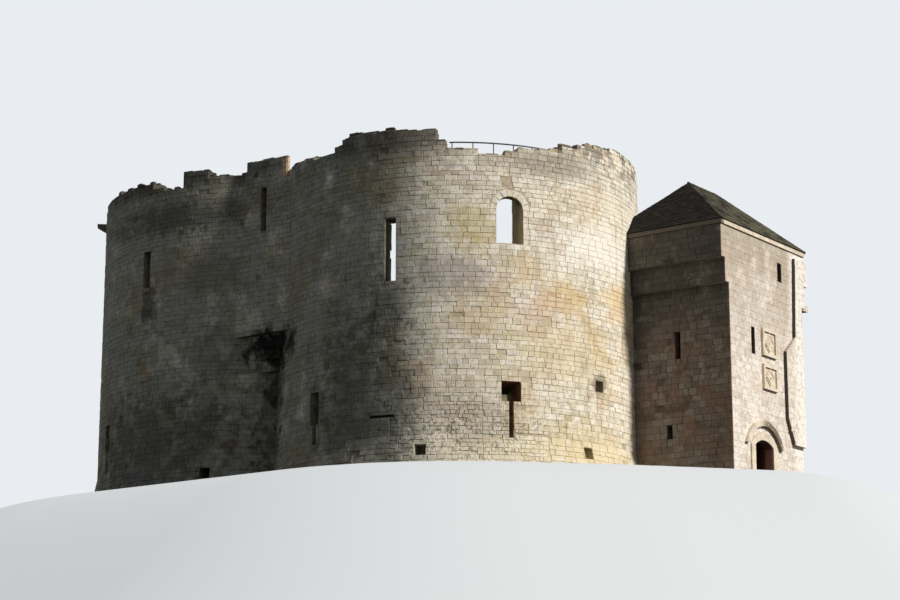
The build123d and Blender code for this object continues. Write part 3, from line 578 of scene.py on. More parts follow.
def grow(piece, tree, values):
    """Runs a tree on a piece, makes the result a plain mesh, and lets it ride on the keep."""
    modifier = piece.modifiers.new("grow", "NODES")
    modifier.node_group = tree
    for item in tree.interface.items_tree:
        if item.name in values:
            modifier[item.identifier] = values[item.name]
    graph = bpy.context.evaluated_depsgraph_get()
    made = bpy.data.meshes.new_from_object(piece.evaluated_get(graph), depsgraph=graph)
    piece.modifiers.clear()
    piece.data = made
    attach(piece, "root")
    made.calc_loop_triangles()
    print(piece.name, "has", len(made.loop_triangles), "triangles")


laid_stones = stone_tree()

# %% [markdown]
# ## Where the stones go
# A face of the keep is a sheet with two directions: metres along it, and height. A small function says
# where such a pair of numbers is in space. Courses run along the sheet, and a stone that meets an opening
# is cut at its edge, as a mason would do it.

# %% Sheets
SLIVER = 0.07
LEAST_COURSE = 0.12


def round_face(lobe, radius, inward=False, lean=0.0):
    """A face round the middle of a lobe. inward faces the room, and lean spreads its foot."""
    return lambda s, z, out: around(
        lobe, radius + lean * (1 - z / PLINTH) + (-out if inward else out), s / radius, z)


def ring_top(lobe, middle, level):
    """A level sheet round a lobe: metres along its middle, and metres out from the centre."""
    return lambda s, r, out: around(lobe, r, s / middle, level + out)


def flat_face(x, y, along_x, along_y):
    """An upright flat face that starts at a point. It faces right of the way it runs."""
    return lambda s, z, out: (x + along_x * s + along_y * out, y + along_y * s - along_x * out, z)


def level_face(z):
    """A floor at a level."""
    return lambda s, t, out: (s, t, z + out)


def metres(angle, radius=LOBE):
    """An angle as metres along a round face."""
    return radians(angle) * radius


def span(lobe, radius):
    """Where the outer face of a lobe starts and ends, in metres along a round face."""
    return metres(ARC_START[lobe], radius), metres(ARC_START[lobe] + ARC, radius)


def rectangle(s0, s1, z0, z1, inset=0.0):
    """Four corners, pulled in by half a joint."""
    left, right, low, high = s0 + inset, s1 - inset, z0 + inset, z1 - inset
    return [(left, low), (right, low), (right, high), (left, high)]


def minus(stone, cut):
    """What is left of a stone when an opening is cut from it. Both are start, end, low and high."""
    s0, s1, z0, z1 = stone
    a0, a1, b0, b1 = cut
    if a0 >= s1 or a1 <= s0 or b0 >= z1 or b1 <= z0:
        return [stone]
    middle0, middle1 = max(s0, a0), min(s1, a1)
    left = [(s0, a0, z0, z1), (a1, s1, z0, z1), (middle0, middle1, z0, b0), (middle0, middle1, b1, z1)]
    return [p for p in left if p[1] - p[0] > SLIVER and p[3] - p[2] > SLIVER]


# %% Courses and stones
class Bond:
    """Collects the rectangles of one piece of masonry."""

    def __init__(self, seed):
        self.chance = random.Random(seed)
        self.corners, self.faces, self.give = [], [], []

    def stone(self, place, four, bed, flip=False, give=1.0):
        """Adds one stone by its corners on a sheet, which may have a lift, set back by its bed."""
        start = len(self.corners)
        self.corners += [place(s, z, sum(lift) - bed) for s, z, *lift in four]
        ring = list(range(start, start + 4))
        self.faces.append(ring[::-1] if flip else ring)
        self.give.append(give)

    def courses(self, place, reach, levels, lengths, cuts=(), lost=0.0, joint=0.012, stray=0.006, bed=0.03,
                flip=False, give=1.0, tall=0.0):
        """Lays courses on a sheet between two distances, and leaves out the cuts and a share of the stones.
        give is the share of the relief that the stones take, and a share called tall takes all of it."""
        for low, high in zip(levels, levels[1:]):
            s, end = reach[0], reach[0] + self.chance.uniform(0.4, 1.0) * lengths[1]
            while s < reach[1]:
                if reach[1] - end < lengths[0] / 2:
                    end = reach[1]
                stones = [(s, end, low, high)]
                for cut in cuts:
                    stones = [part for whole in stones for part in minus(whole, cut)]
                for s0, s1, z0, z1 in stones:
                    missing = self.chance.random() < (lost(z0) if callable(lost) else lost)
                    if missing or s1 - s0 < SLIVER or z1 - z0 < SLIVER:
                        continue
                    four = [(a + self.chance.uniform(-stray, stray), b + self.chance.uniform(-stray, stray))
                            for a, b in rectangle(s0, s1, z0, z1, joint / 2)]
                    self.stone(place, four, bed, flip, 1.0 if self.chance.random() < tall else give)
                s, end = end, end + self.chance.uniform(*lengths)

    def grow(self, name, sizes, seed, finish, slot="limestone"):
        """Turns the rectangles into stones with the tree."""
        piece = new_mesh(name, self.corners, [], self.faces)
        piece.data.attributes.new("give", "FLOAT", "FACE").data.foreach_set("value", self.give)
        grow(piece, laid_stones, dict(zip(STONE_SIZES, sizes), Seed=seed, Finish=finish))


def course_levels(low, high, smallest, largest, seed):
    """Levels of the bed joints, from low to high, with courses of random height."""
    chance = random.Random(seed)
    levels = [low]
    while levels[-1] < high - smallest:
        levels.append(levels[-1] + chance.uniform(smallest, largest))
    levels[-1] = high
    return levels


def levels_between(courses, low, high):
    """The bed joints between two levels, with the two levels themselves."""
    return [low] + [z for z in courses if low + LEAST_COURSE < z < high - LEAST_COURSE] + [high]


COURSES = course_levels(PLINTH, HIGHEST, 0.17, 0.26, 5)
PLINTH_COURSES = course_levels(0.02, PLINTH, 0.19, 0.28, 6)
INNER_COURSES = course_levels(FLOOR, WALK, 0.32, 0.44, 7)
print("courses outside:", len(COURSES), "and inside:", len(INNER_COURSES))

# %% [markdown]
# ## The outer face of the lobes
# Every lobe shows about half of its circle. The stones stop at slits, windows, ports and holes, behind
# the small turrets and the gate tower, and at the broken top. Low on the photographed side the facing is
# robbed: small rubble shows there instead of squared blocks, and many of its stones are lost.

# %% Outer facing of the lobes
RUBBLE_ZONE = ((196.0, 206.0, 2.5), (206.0, 223.0, 3.0), (223.0, 232.0, 2.2), (232.0, 243.0, 1.6))
SLOT = (193.2, 1.05, 2.24, 2.35)
BEHIND_TURRET = (11.6, TURRET_BASE, 13.7)
BEHIND_GATE = (25.8, 0.0, EAVES)
BAND = 0.1


def slot_cut(centre, width, low, high):
    """A straight-sided opening."""
    return (centre - width / 2, centre + width / 2, low, high)


def arch_cuts(centre, radius):
    """Bands that stand in for the round head of a window and its ring of arch stones."""
    bands = []
    for i in range(int(radius / BAND) + 1):
        low = WINDOW_SPRING + i * BAND
        half = sqrt(max(0.0, radius**2 - (i * BAND) ** 2))
        bands.append((centre - half, centre + half, low, low + BAND))
    return bands


def above_top(lobe, radius=LOBE):
    """What is missing above the broken parapet."""
    return [(metres(a, radius), metres(b, radius), top, HIGHEST + 1) for a, b, top in tops_of(lobe)]


def outer_cuts(lobe, in_rubble=False):
    """Everything that interrupts the facing of a lobe, in metres along its outer face."""
    cuts = [slot_cut(metres(angles[lobe]), *size) for angles, sizes, mouth in OPENINGS if lobe in angles
            for size in sizes]
    cuts += arch_cuts(metres(WINDOWS[lobe]), WINDOW_HALF + ARCH_RING)
    cuts += [slot_cut(metres(angle), HOLE, sill, sill + HOLE) for angle, sill in HOLES[lobe]]
    if lobe == "sw":
        cuts.append(slot_cut(metres(SLOT[0]), *SLOT[1:]))
    if lobe == "sw" and not in_rubble:
        cuts += [(metres(a), metres(b), 0.0, top) for a, b, top in RUBBLE_ZONE]
    for edge, inward, turret in zip(span(lobe, LOBE), (1, -1), TURRET_ENDS[lobe]):
        turn, low, high = BEHIND_TURRET if turret else BEHIND_GATE
        near = edge + inward * metres(turn)
        cuts.append((min(edge, near), max(edge, near), low, high))
    return cuts + above_top(lobe)


def fallen(z):
    """The chance that a stone is missing at a level."""
    return 0.012 if z > 4 else 0.03


def arch_stones(bond, place, centre, count=9):
    """Wedge-shaped stones round the half-round head of a window."""
    outside = WINDOW_HALF + ARCH_RING
    for i in range(count):
        a, b = pi * i / count + 0.015, pi * (i + 1) / count - 0.015
        four = ((WINDOW_HALF, a), (outside, a), (outside, b), (WINDOW_HALF, b))
        bond.stone(place, [(centre + r * cos(t), WINDOW_SPRING + r * sin(t)) for r, t in four], 0.03)


FACING = (0.03, 0.002, 0.018, 0.009, 0.93)
for order, lobe in enumerate(CENTRES):
    bond = Bond(100 + order)
    cuts = outer_cuts(lobe)
    face = round_face(lobe, LOBE)
    foot = round_face(lobe, LOBE, lean=SPREAD)
    bond.courses(face, span(lobe, LOBE), COURSES, (0.2, 0.55), cuts, fallen)
    bond.courses(foot, span(lobe, LOBE), PLINTH_COURSES, (0.28, 0.65), cuts, fallen)
    for angle_from, angle_to, top in RUBBLE_ZONE if lobe == "sw" else ():
        reach = (metres(angle_from), metres(angle_to))
        for sheet, low, high in ((foot, 0.02, PLINTH), (face, PLINTH, top)):
            bond.courses(sheet, reach, course_levels(low, high, 0.13, 0.2, 9), (0.15, 0.38),
                         outer_cuts(lobe, True), 0.1, joint=0.02, stray=0.016)
    arch_stones(bond, face, metres(WINDOWS[lobe]))
    bond.grow(f"{lobe}_facing", FACING, 11 + order, ashlar)

# %% [markdown]
# ## The rooms
# Inside, the wall is plainer: larger stones, and the wide splayed mouths of the slits and windows. The low
# inner side of the parapet is laid the same way, and so are the flat ends of the walls between the rooms.

# %% Inner facing of the rooms
ENTRANCE_TOP = 2.4
ENTRANCES = {"sw": ((330.4, 345),), "se": ((195, 209.6),)}
LINING = (0.05, 0.002, 0.024, 0.01, 0.94)
# On sheets that run the other way round, stones are turned to face outwards. They get a deep bed.
TURNED = {"bed": 0.05, "flip": True}


def inner_cuts(lobe):
    """The mouths of the embrasures and the way in, in metres along the face of a room."""
    cuts = [slot_cut(metres(angles[lobe], ROOM), *mouth)
            for angles, sizes, mouth in OPENINGS if lobe in angles]
    return cuts + [(metres(a, ROOM), metres(b, ROOM), 0.0, ENTRANCE_TOP) for a, b in ENTRANCES.get(lobe, ())]


ROOM_REACH = 135 - degrees(asin((MIDDLE - OFFSET) / ROOM))
for order, lobe in enumerate(CENTRES):
    bond = Bond(200 + order)
    reach = [metres(ROOM_MIDDLE[lobe] + side * ROOM_REACH, ROOM) for side in (-1, 1)]
    bond.courses(round_face(lobe, ROOM, True), reach, INNER_COURSES, (0.45, 1.0), inner_cuts(lobe), 0.015,
                 **TURNED)
    ends = span(lobe, PARAPET_INSIDE)
    cuts = above_top(lobe, PARAPET_INSIDE) + [(ends[0] - 1, ends[1] + 1, 0.0, WALK)]
    bond.courses(round_face(lobe, PARAPET_INSIDE, True), ends, [z for z in COURSES if z >= WALK - 0.2],
                 (0.34, 0.8), cuts, 0.03, **TURNED)
    bond.grow(f"{lobe}_lining", LINING, 31 + order, ashlar)

# %% Flat ends of the walls between the rooms
CUSP = OFFSET - sqrt(ROOM**2 - (MIDDLE - OFFSET) ** 2)
bond = Bond(300)
for x, y, along_x, along_y in ((-MIDDLE, -CUSP, 0, 1), (-CUSP, MIDDLE, 1, 0), (MIDDLE, CUSP, 0, -1),
                               (CUSP, -MIDDLE, -1, 0)):
    cuts = [(-1, 2, 0.0, ENTRANCE_TOP)] if y == -MIDDLE else []
    bond.courses(flat_face(x, y, along_x, along_y), (0, 2 * CUSP), INNER_COURSES, (0.4, 0.5), cuts)
bond.grow("wall_end_stones", LINING, 41, ashlar)

# %% [markdown]
# ## The small turrets
# Each turret is a narrow box in the angle between two lobes, carried on five corbel courses. Its face is
# laid with the same courses as the lobes. Below the wall top its stones run on until they meet the lobes,
# so no groove is left beside it, and above that its sides stand free.

# %% Turret facing
TURRET_HALF = 1.25
TURRET_PROUD = 1.07
NOTCH_LEVEL = TURRET_TOP - 0.35
NOTCH_WIDE = 0.27
CORBEL = 0.5
CORBEL_SHARES = (0.74, 0.54, 0.38, 0.24, 0.12)
TURRET_MEETS = 0.24
TURRET_RETURN = REENTRANT + TURRET_PROUD - OFFSET - sqrt(LOBE**2 - (OFFSET - TURRET_HALF) ** 2)


def turret_faces(out_x, out_y, proud, half, back):
    """The front of a turret and its two narrow sides."""
    reach = REENTRANT + proud
    near = (out_x * reach + out_y * half, out_y * reach - out_x * half)
    far = (out_x * reach - out_y * half, out_y * reach + out_x * half)
    return (flat_face(*near, -out_y, out_x), flat_face(*far, -out_x, -out_y),
            flat_face(near[0] - out_x * back, near[1] - out_y * back, out_x, out_y))


bond = Bond(400)
levels = levels_between(COURSES, TURRET_BASE, TURRET_TOP)
below_notch = levels_between(COURSES, TURRET_BASE, NOTCH_LEVEL)
FREE_FROM = next(i for i, z in enumerate(levels) if z > WALK + 0.75)
cuts = [slot_cut(TURRET_HALF, 0.3, 11.0, 12.9), (0.0, NOTCH_WIDE, NOTCH_LEVEL, TURRET_TOP)]
for way in TURRET_WAYS:
    front, far_side, near_side = turret_faces(*way, TURRET_PROUD, TURRET_HALF, TURRET_RETURN)
    for rows, past in ((levels[:FREE_FROM + 1], TURRET_MEETS), (levels[FREE_FROM:], 0.0)):
        bond.courses(front, (-past, 2 * TURRET_HALF + past), rows, (0.2, 0.55), cuts, 0.02)
    bond.courses(far_side, (0, TURRET_RETURN), levels, (0.3, 0.5), bed=0.02)
    bond.courses(near_side, (0, TURRET_RETURN), below_notch, (0.3, 0.5), bed=0.02)
    for step, share in enumerate(CORBEL_SHARES):
        top = TURRET_BASE - step * CORBEL
        half = TURRET_HALF * share
        corbel = turret_faces(*way, TURRET_PROUD * share, half, 0.1)[0]
        bond.courses(corbel, (0, 2 * half), [top - CORBEL, top - CORBEL / 2, top], (0.35, 0.6))
bond.grow("turret_facing", FACING, 51, ashlar)

# %% [markdown]
# ## The gate tower
# Its front is bleached by the sun, and its west side is sheltered, brown and red. The tower is wider at
# each upper stage, so every stage is a sheet of its own. The doorway, the framed panels, the slits and the
# window are left free. The strips of the corner buttress stand out from the front.

# %% Gate tower facing
STAGE = 0.275
COPING = 0.18
GATE_TOP = EAVES - COPING
GATE_SIDE = -OFFSET - sqrt(LOBE**2 - (OFFSET - GATE_HALF) ** 2) - GATE_FRONT + 0.1
GATE_COURSES = course_levels(0.02, GATE_TOP, 0.24, 0.33, 8)
GATE_STONES = (0.26, 0.62)
STAGES = ((0.02, FIRST_STAGE, 0.0), (FIRST_STAGE, SECOND_STAGE, STAGE), (SECOND_STAGE, GATE_TOP, 2 * STAGE))
DOOR_X = -0.52
DOOR_HALF = 0.76
DOOR_SPRING = 1.72
PANEL_X = 0.17
PANELS = ((5.53, 6.68), (4.13, 5.18))
FRONT_CUTS = [
    slot_cut(DOOR_X, 2 * DOOR_HALF + 0.3, 0.0, DOOR_SPRING),
    slot_cut(DOOR_X, 2 * DOOR_HALF, DOOR_SPRING, DOOR_SPRING + 0.35),
    *(slot_cut(PANEL_X, 1.2, *panel) for panel in PANELS),
    slot_cut(-1.11, 0.3, 5.47, 6.6), slot_cut(1.38, 0.36, 8.95, 9.77)]
SIDE_SLITS = [slot_cut(2.9, 0.25, 1.98, 2.54), slot_cut(2.43, 0.25, 5.24, 6.36)]
BUTTRESS_PROUD = 0.16
# low, high, left edge and right edge of each strip
BUTTRESS = ((2.1, 2.65, 2.0, 3.0), (2.65, 3.2, 1.7, 3.0), (3.2, 6.0, 1.52, 3.0), (6.0, 6.35, 1.9, 3.0),
            (6.35, 6.7, 2.25, 3.0), (6.7, FIRST_STAGE, 2.42, 3.0), (FIRST_STAGE, SECOND_STAGE, 2.48, 3.275),
            (SECOND_STAGE, 10.2, 2.53, 3.55))

front, west, east = Bond(500), Bond(501), Bond(502)
for low, high, wider in STAGES:
    half = GATE_HALF + wider
    levels = levels_between(GATE_COURSES, low, high)
    cuts = [(a + half, b + half, c, d) for a, b, c, d in FRONT_CUTS]
    front.courses(flat_face(-half, GATE_FRONT, 1, 0), (0, 2 * half), levels, GATE_STONES, cuts, 0.01)
    mirrored = [(GATE_SIDE - b, GATE_SIDE - a, c, d) for a, b, c, d in SIDE_SLITS]
    for bond, side, cuts in ((west, flat_face(-half, GATE_FRONT + GATE_SIDE, 0, -1), mirrored),
                             (east, flat_face(half, GATE_FRONT, 0, 1), SIDE_SLITS)):
        bond.courses(side, (0, GATE_SIDE), levels, GATE_STONES, cuts, 0.015)
for low, high, left, right in BUTTRESS:
    strip = flat_face(left, GATE_FRONT - BUTTRESS_PROUD, 1, 0)
    front.courses(strip, (0, right - left), levels_between(GATE_COURSES, low, high), (0.3, 0.6))
front.grow("gate_front_facing", (0.03, 0.002, 0.006, 0.004, 0.97), 61, front_ashlar)
west.grow("gate_west_facing", FACING, 62, shelter_ashlar)
east.grow("gate_east_facing", FACING, 63, ashlar)

# %% [markdown]
# The two framed panels over the doorway are carved. Each holds a plain figure of masons' geometry, a
# quatrefoil above and a lozenge below. A moulding is one closed ring: its outline is pushed forward, then
# narrowed, then pushed back, so it has an outer slope, a flat front and an inner slope.

# %% Carving of the panels
FIELD_Y = GATE_FRONT - 0.065


def quatrefoil(reach, radius, steps=14):
    """The outline of four round foils, as points round the middle."""
    rho = (reach * sqrt(2) + sqrt(2 * reach**2 - 4 * (reach**2 - radius**2))) / 2
    spread = atan2(rho / sqrt(2), rho / sqrt(2) - reach)
    turns = [(k * pi / 2, -spread + 2 * spread * i / steps) for k in range(4) for i in range(steps)]
    return [(reach * cos(k) + radius * cos(k + t), reach * sin(k) + radius * sin(k + t)) for k, t in turns]


def moulding(outline, width, proud):
    """Rings of corners for a raised moulding that follows an outline: scale and how far it stands out."""
    reach = max(hypot(x, z) for x, z in outline)
    inner, slope = 1 - width / reach, 0.25 * width / reach
    return [[(x * k, z * k, out) for x, z in outline]
            for k, out in ((1.0, -0.01), (1 - slope, proud), (inner + slope, proud), (inner, -0.01))]


FOILS = quatrefoil(0.19, 0.155)
LOZENGE = [(0.34, 0.0), (0.0, 0.3), (-0.34, 0.0), (0.0, -0.3)]
BOSS = [(0.085 * cos(t * pi / 4), 0.085 * sin(t * pi / 4)) for t in range(8)]
corners, faces = [], []
for outline, middle_z, width, proud in ((FOILS, 6.105, 0.07, 0.035), (BOSS, 6.105, 0.084, 0.03),
                                        (LOZENGE, 4.655, 0.075, 0.035), (BOSS, 4.655, 0.084, 0.03)):
    first, count = len(corners), len(outline)
    corners += [(PANEL_X + x, FIELD_Y - out, middle_z + z)
                for ring in moulding(outline, width, proud) for x, z, out in ring]
    for row in range(4):
        a, b = first + row * count, first + (row + 1) % 4 * count
        faces += [(a + i, a + (i + 1) % count, b + (i + 1) % count, b + i) for i in range(count)]
carving = new_mesh("panel_carving", corners, [], faces)
carving.data.materials.append(dressed)
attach(carving, "root")
print("the carving has", len(faces), "faces")

# %% [markdown]
# ## Broken wall tops
# The wall tops are open masonry, broken and uneven. Their stones come from the same tree as the facing,
# only laid flat in rows along the top, with a large relief and every sixth one lost.

# %% The uneven last course
CREST = (0.05, 0.0, 0.2, 0.02, 0.82)
CREST_ROWS = (PARAPET_INSIDE, 7.03, 7.22, 7.38, 7.55, LOBE)
LOW_CREST = (212.0, 241.0)
middle = (LOBE + PARAPET_INSIDE) / 2
for order, lobe in enumerate(CENTRES):
    bond = Bond(600 + order)
    for angle_from, angle_to, top in tops_of(lobe):
        low = lobe == "sw" and LOW_CREST[0] <= angle_from < LOW_CREST[1]
        bond.courses(ring_top(lobe, middle, top), (metres(angle_from, middle), metres(angle_to, middle)),
                     CREST_ROWS, (0.16, 0.46), (), 0.16, stray=0.03, give=0.2 if low else 0.5,
                     tall=0.0 if low else 0.14, **TURNED)
    bond.grow(f"{lobe}_crest", CREST, 71 + order, rubble)
# Each turret narrows to the bottom of its angle: front, back and half width of the rows on its top.
TURRET_ROWS = ((1.05, 0.84, 1.15), (0.84, 0.63, 0.85), (0.63, 0.33, 0.45))


def turret_top(x, y):
    """The top of a turret as a sheet: metres across it, and metres out from the bottom of its angle."""
    return lambda s, r, out: (x * (REENTRANT + r) - y * s, y * (REENTRANT + r) + x * s, TURRET_TOP + out)


bond = Bond(610)
for way in TURRET_WAYS:
    for near, back, half in TURRET_ROWS:
        bond.courses(turret_top(*way), (max(-half, NOTCH_WIDE - TURRET_HALF), half), [back, near],
                     (0.18, 0.4), (), 0.1, stray=0.02, give=0.5, tall=0.1, **TURNED)
bond.grow("turret_crest", (0.05, 0.0, 0.14, 0.02, 0.82), 75, rubble)

# %% [markdown]
# ## Floors
# The courtyard and the rooms are paved with flagstones, the wall walk too, and the upper rooms of the gate
# tower have boards. A flagstone is laid where all its corners are clear of the walls.

# %% Flagstones
PAVING = (0.02, 0.002, 0.01, 0.006, 0.97)
PASSAGE_HALF = 0.8
GATE_ROOM_HALF = 1.8
GATE_ROOM_FRONT = GATE_FRONT + 1.2


def free_floor(x, y, margin=0.08):
    """Whether a point of the ground floor is clear of the walls."""
    clear = all(hypot(x - side * OFFSET, y + OFFSET) > LOBE + margin for side in (-1, 1))
    return (max(abs(x), abs(y)) < MIDDLE - margin
            or abs(x) < PASSAGE_HALF - margin and -REENTRANT - 2 < y < 0
            or clear and abs(x) < GATE_ROOM_HALF - margin and GATE_ROOM_FRONT + margin < y < 0
            or any(hypot(x - a, y - b) < ROOM - margin for a, b in CENTRES.values()))


yard = Bond(701)
row = GATE_ROOM_FRONT
while row < OFFSET + ROOM:
    depth = yard.chance.uniform(0.55, 0.8)
    s = -OFFSET - ROOM - yard.chance.random()
    while s < OFFSET + ROOM:
        length = yard.chance.uniform(0.6, 1.2)
        if all(free_floor(x, y) for x, y in rectangle(s, s + length, row, row + depth)):
            yard.stone(level_face(FLOOR), rectangle(s, s + length, row, row + depth, 0.01), 0.02)
        s += length
    row += depth
yard.grow("courtyard_flags", PAVING, 81, flags, "floor_stone")
walk = Bond(700)
for lobe in CENTRES:
    for inner, outer in ((5.03, 5.6), (5.6, 6.2), (6.2, 6.83)):
        mean = (inner + outer) / 2
        limit = 135 - degrees(max(asin((MIDDLE - OFFSET) / outer), acos(min(1.0, OFFSET / outer))))
        ends = [metres(ROOM_MIDDLE[lobe] + side * limit, mean) for side in (-1, 1)]
        walk.courses(ring_top(lobe, mean, WALK), ends, [inner, outer], (0.5, 0.95), (), 0.03, bed=0.02,
                     flip=True)
walk.grow("walk_flags", PAVING, 82, flags, "floor_stone")

# %% Boards of the upper rooms
BOARD = 0.22
boards = Bond(702)
for node in ("chapel_floor", "loft_floor"):
    low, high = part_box(node)
    x = low.x + 0.01
    while x < high.x - 0.1:
        edge = min(x + BOARD, high.x - 0.01)
        back = -OFFSET - sqrt(LOBE**2 - (OFFSET - min(abs(x), abs(edge))) ** 2)
        boards.stone(level_face(high.z), rectangle(x, edge - 0.008, low.y + 0.01, back - 0.25), 0.01)
        x += BOARD
boards.grow("floor_boards", (0.01, 0.012, 0.02, 0.004, 0.98), 83, oak, "floor_boards")

# %% [markdown]
# ## Roof tiles
# The hipped roof has plain tiles in courses. Each tile lies on the one below, so its lower edge stands
# proud. A tile at a hip is cut along it. The hips and the ridge get round cover tiles, which a second
# tree sets along their lines.

# %% Tiles on the slopes
ROOF_HALF = 3.65
ROOF_FRONT = -17.196
ROOF_BACK = -11.396
RIDGE_Y = (ROOF_FRONT + ROOF_BACK) / 2
RIDGE_HALF = 1.15
PEAK = 13.18
RISE = PEAK - EAVES
GAUGE = 0.17
TILE_WIDE = 0.25
TILE_LIFT = 0.022
TILE_GAP = 0.005
# foot, way along the eaves, way up, and half the length of the eaves and of the top
SLOPES = (
    ((0, ROOF_FRONT, EAVES), (1, 0, 0), (0, RIDGE_Y - ROOF_FRONT, RISE), ROOF_HALF, RIDGE_HALF),
    ((0, ROOF_BACK, EAVES), (-1, 0, 0), (0, RIDGE_Y - ROOF_BACK, RISE), ROOF_HALF, RIDGE_HALF),
    ((-ROOF_HALF, RIDGE_Y, EAVES), (0, -1, 0), (ROOF_HALF - RIDGE_HALF, 0, RISE), RIDGE_Y - ROOF_FRONT, 0.0),
    ((ROOF_HALF, RIDGE_Y, EAVES), (0, 1, 0), (RIDGE_HALF - ROOF_HALF, 0, RISE), RIDGE_Y - ROOF_FRONT, 0.0),
)


def slope_face(foot, along, up):
    """A roof slope as a sheet: metres along the eaves from its middle, and metres up the slope."""
    foot, along, up = Vector(foot), Vector(along), Vector(up).normalized()
    return lambda s, t, out: tuple(foot + along * s + up * t + along.cross(up) * out)


tiles = Bond(800)
for foot, along, up, half_low, half_high in SLOPES:
    place, height = slope_face(foot, along, up), Vector(up).length
    for row in range(int(height / GAUGE)):
        t0, t1 = row * GAUGE, min(height, (row + 1.25) * GAUGE)
        low_end, high_end = (half_low + (half_high - half_low) * t / height for t in (t0, t1))
        s = -half_low - (row % 2) * TILE_WIDE / 2
        while s < half_low:
            a, b = max(-low_end, s), min(low_end, s + TILE_WIDE)
            d, c = max(-high_end, s), min(high_end, s + TILE_WIDE)
            if b - a > 0.06 and c - d > -0.1:
                if c - d < 0.02:
                    tip = max(-high_end, min(high_end, s + TILE_WIDE / 2))
                    c, d = tip + 0.01, tip - 0.01
                lift = TILE_LIFT + tiles.chance.uniform(-0.006, 0.006)
                x, y, z = place((a + b) / 2, (t0 + t1) / 2, 0)
                if all(hypot(x - side * OFFSET, y + OFFSET) >= LOBE - 0.1 for side in (-1, 1)):
                    tiles.stone(place, [(a + TILE_GAP, t0, lift), (b - TILE_GAP, t0, lift),
                                        (c - TILE_GAP / 2, t1, 0.002), (d + TILE_GAP / 2, t1, 0.002)], 0.0)
            s += TILE_WIDE
tiles.grow("roof_tiles", (0.008, 0.002, 0.008, 0.003, 0.96), 91, tile, "roof_covering")

# %% Cover tiles along the hips and the ridge
COVER_SIZES = {"Spacing": 0.3, "Radius": 0.062, "Overlap": 0.05}
# A line ends short of its head by less than one cover tile, so that the last tile ends at the head.
LAST_COVER = 0.25


def cover_tree():
    """Sets short round tiles along lines, one after another."""
    tree, given = new_tree("cover_tiles", COVER_SIZES)
    line = add(tree, "GeometryNodeMeshToCurve", {"Mesh": given["Geometry"]})
    points = add(tree, "GeometryNodeCurveToPoints", {
        "Curve": line, "Length": given["Spacing"]}, mode="LENGTH")
    length = add(tree, "Math ADD", {0: given["Spacing"], 1: given["Overlap"]})
    narrow = add(tree, "Math MULTIPLY", {0: given["Radius"], 1: 0.86})
    cover = add(tree, "GeometryNodeMeshCone", {
        "Vertices": 10, "Radius Top": narrow, "Radius Bottom": given["Radius"], "Depth": length})
    size = add(tree, "FunctionNodeRandomValue", {2: 0.94, 3: 1.06, "Seed": given["Seed"]})
    placed = add(tree, "GeometryNodeInstanceOnPoints", {
        "Points": points, "Instance": cover, "Rotation": points.outputs["Rotation"],
        "Scale": size.outputs[1]})
    tone = add(tree, "FunctionNodeRandomValue", {2: 0.0, 3: 1.0, "Seed": given["Seed"]})
    toned = add(tree, "GeometryNodeStoreNamedAttribute", {
        "Geometry": placed, "Name": "tone", "Value": tone.outputs[1]}, domain="INSTANCE")
    return end_tree(tree, given, toned)


ridge = [Vector((side * RIDGE_HALF, RIDGE_Y, PEAK - 0.02)) for side in (-1, 1)]
feet = [Vector((side * ROOF_HALF, ROOF_FRONT, EAVES)) for side in (-1, 1)]
corners = []
for foot, head in ((feet[0], ridge[0]), (feet[1], ridge[1]), (ridge[0], ridge[1])):
    corners += [foot, head + (foot - head).normalized() * LAST_COVER]
covers = new_mesh("cover_tiles", corners, [(0, 1), (2, 3), (4, 5)], [])
grow(covers, cover_tree(), {**COVER_SIZES, "Seed": 92, "Finish": tile})

# %% [markdown]
# ## Floor, light and background
# The keep stands on a plain pale floor. It is level round the walls and then falls away smoothly, because
# the camera looks up from below. How far it has fallen depends on the distance to the plan of the keep,
# taken as the largest of the distances to its tangents. The floor is pale for the camera and dull for the
# light it throws back, so that the shaded side stays as deep as it is outdoors.

# %% Studio floor
FLOOR_RIM = 2.0
FLOOR_DROP = 14.2
FLOOR_FALL = 15.0
FLOOR_REACH = 160.0
FLOOR_CELLS = 220
TANGENTS = 72
tangents = []
for k in range(TANGENTS):
    across, ahead = cos(2 * pi * k / TANGENTS), sin(2 * pi * k / TANGENTS)
    lobes = OFFSET * (abs(across) + abs(ahead)) + LOBE + SPREAD
    gate = (GATE_HALF + 0.3) * abs(across) + (GATE_FRONT - 0.5) * ahead
    tangents.append((across, ahead, max(lobes, gate)))


def floor_height(x, y):
    """Level near the walls, then falling away."""
    away = max(x * across + y * ahead - reach for across, ahead, reach in tangents)
    return -0.01 - FLOOR_DROP * (1 - exp(-((max(0.0, away - FLOOR_RIM) / FLOOR_FALL) ** 2)))


def seen_mask(tree):
    """1 for what the camera sees, straight or in a reflection, and 0 for the light that falls on things."""
    rays = add(tree, "LightPath").outputs
    seen = add(tree, "Math MAXIMUM", {0: rays["Is Camera Ray"], 1: rays["Is Glossy Ray"]})
    return add(tree, "Math MAXIMUM", {0: seen, 1: rays["Is Transmission Ray"]})


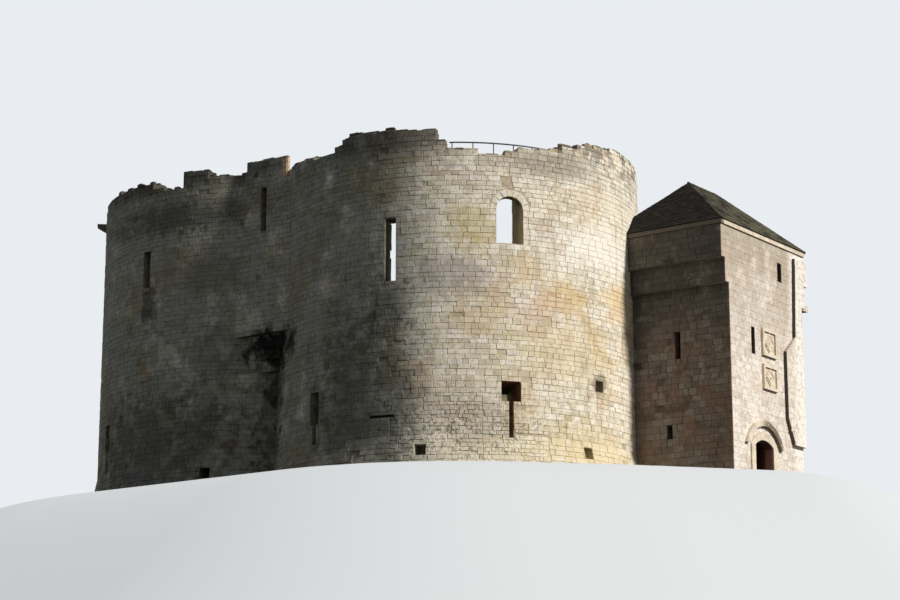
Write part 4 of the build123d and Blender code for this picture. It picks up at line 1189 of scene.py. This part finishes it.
side = FLOOR_CELLS + 1
steps = [FLOOR_REACH * (0.25 * u + 0.75 * u ** 3) for u in [2 * i / FLOOR_CELLS - 1 for i in range(side)]]
points = [(x, y, floor_height(x, y)) for y in steps for x in steps]
cells = [(j * side + i, j * side + i + 1, (j + 1) * side + i + 1, (j + 1) * side + i)
         for j in range(FLOOR_CELLS) for i in range(FLOOR_CELLS)]
floor = new_mesh("studio_floor", points, [], cells)
floor.data.polygons.foreach_set("use_smooth", [True] * len(cells))
paint = bpy.data.materials.new("studio_floor")
paint.use_nodes = True
tree = paint.node_tree
dull = add(tree, "BsdfDiffuse", {"Color": linear("#6f6e66")})
pale = add(tree, "BsdfDiffuse", {"Color": linear("#aaacac")})
glow = add(tree, "Emission", {"Color": linear("#e9edf1"), "Strength": 0.38})
bright = add(tree, "AddShader", {0: pale, 1: glow})
both = add(tree, "MixShader", {0: seen_mask(tree), 1: dull, 2: bright})
tree.links.new(both.outputs[0], tree.nodes["Material Output"].inputs["Surface"])
floor.data.materials.append(paint)
print("the studio floor has", len(cells), "cells")

# %% Light and background
SUN_AZIMUTH = radians(8.0)
SUN_HEIGHT = radians(36.0)
sun = put("sun", bpy.data.lights.new("sun", "SUN"))
sun.data.energy = 4.0
sun.data.angle = radians(7.0)
sun.data.color = (1.0, 0.965, 0.91)
to_sun = Vector((sin(SUN_AZIMUTH) * cos(SUN_HEIGHT), -cos(SUN_AZIMUTH) * cos(SUN_HEIGHT), sin(SUN_HEIGHT)))
sun.rotation_euler = to_sun.to_track_quat("Z", "Y").to_euler()

scene.world = bpy.data.worlds.new("studio")
scene.world.use_nodes = True
tree = scene.world.node_tree
fill = tree.nodes["Background"]
fill.inputs["Color"].default_value = linear("#d9e2f3")
fill.inputs["Strength"].default_value = 0.26
backdrop = add(tree, "Background", {"Color": linear("#e9edf1"), "Strength": 1.0})
both = add(tree, "MixShader", {0: seen_mask(tree), 1: fill, 2: backdrop})
tree.links.new(both.outputs[0], tree.nodes["World Output"].inputs["Surface"])
scene.view_settings.view_transform = "Standard"
print("the sun stands towards", [round(v, 2) for v in to_sun])
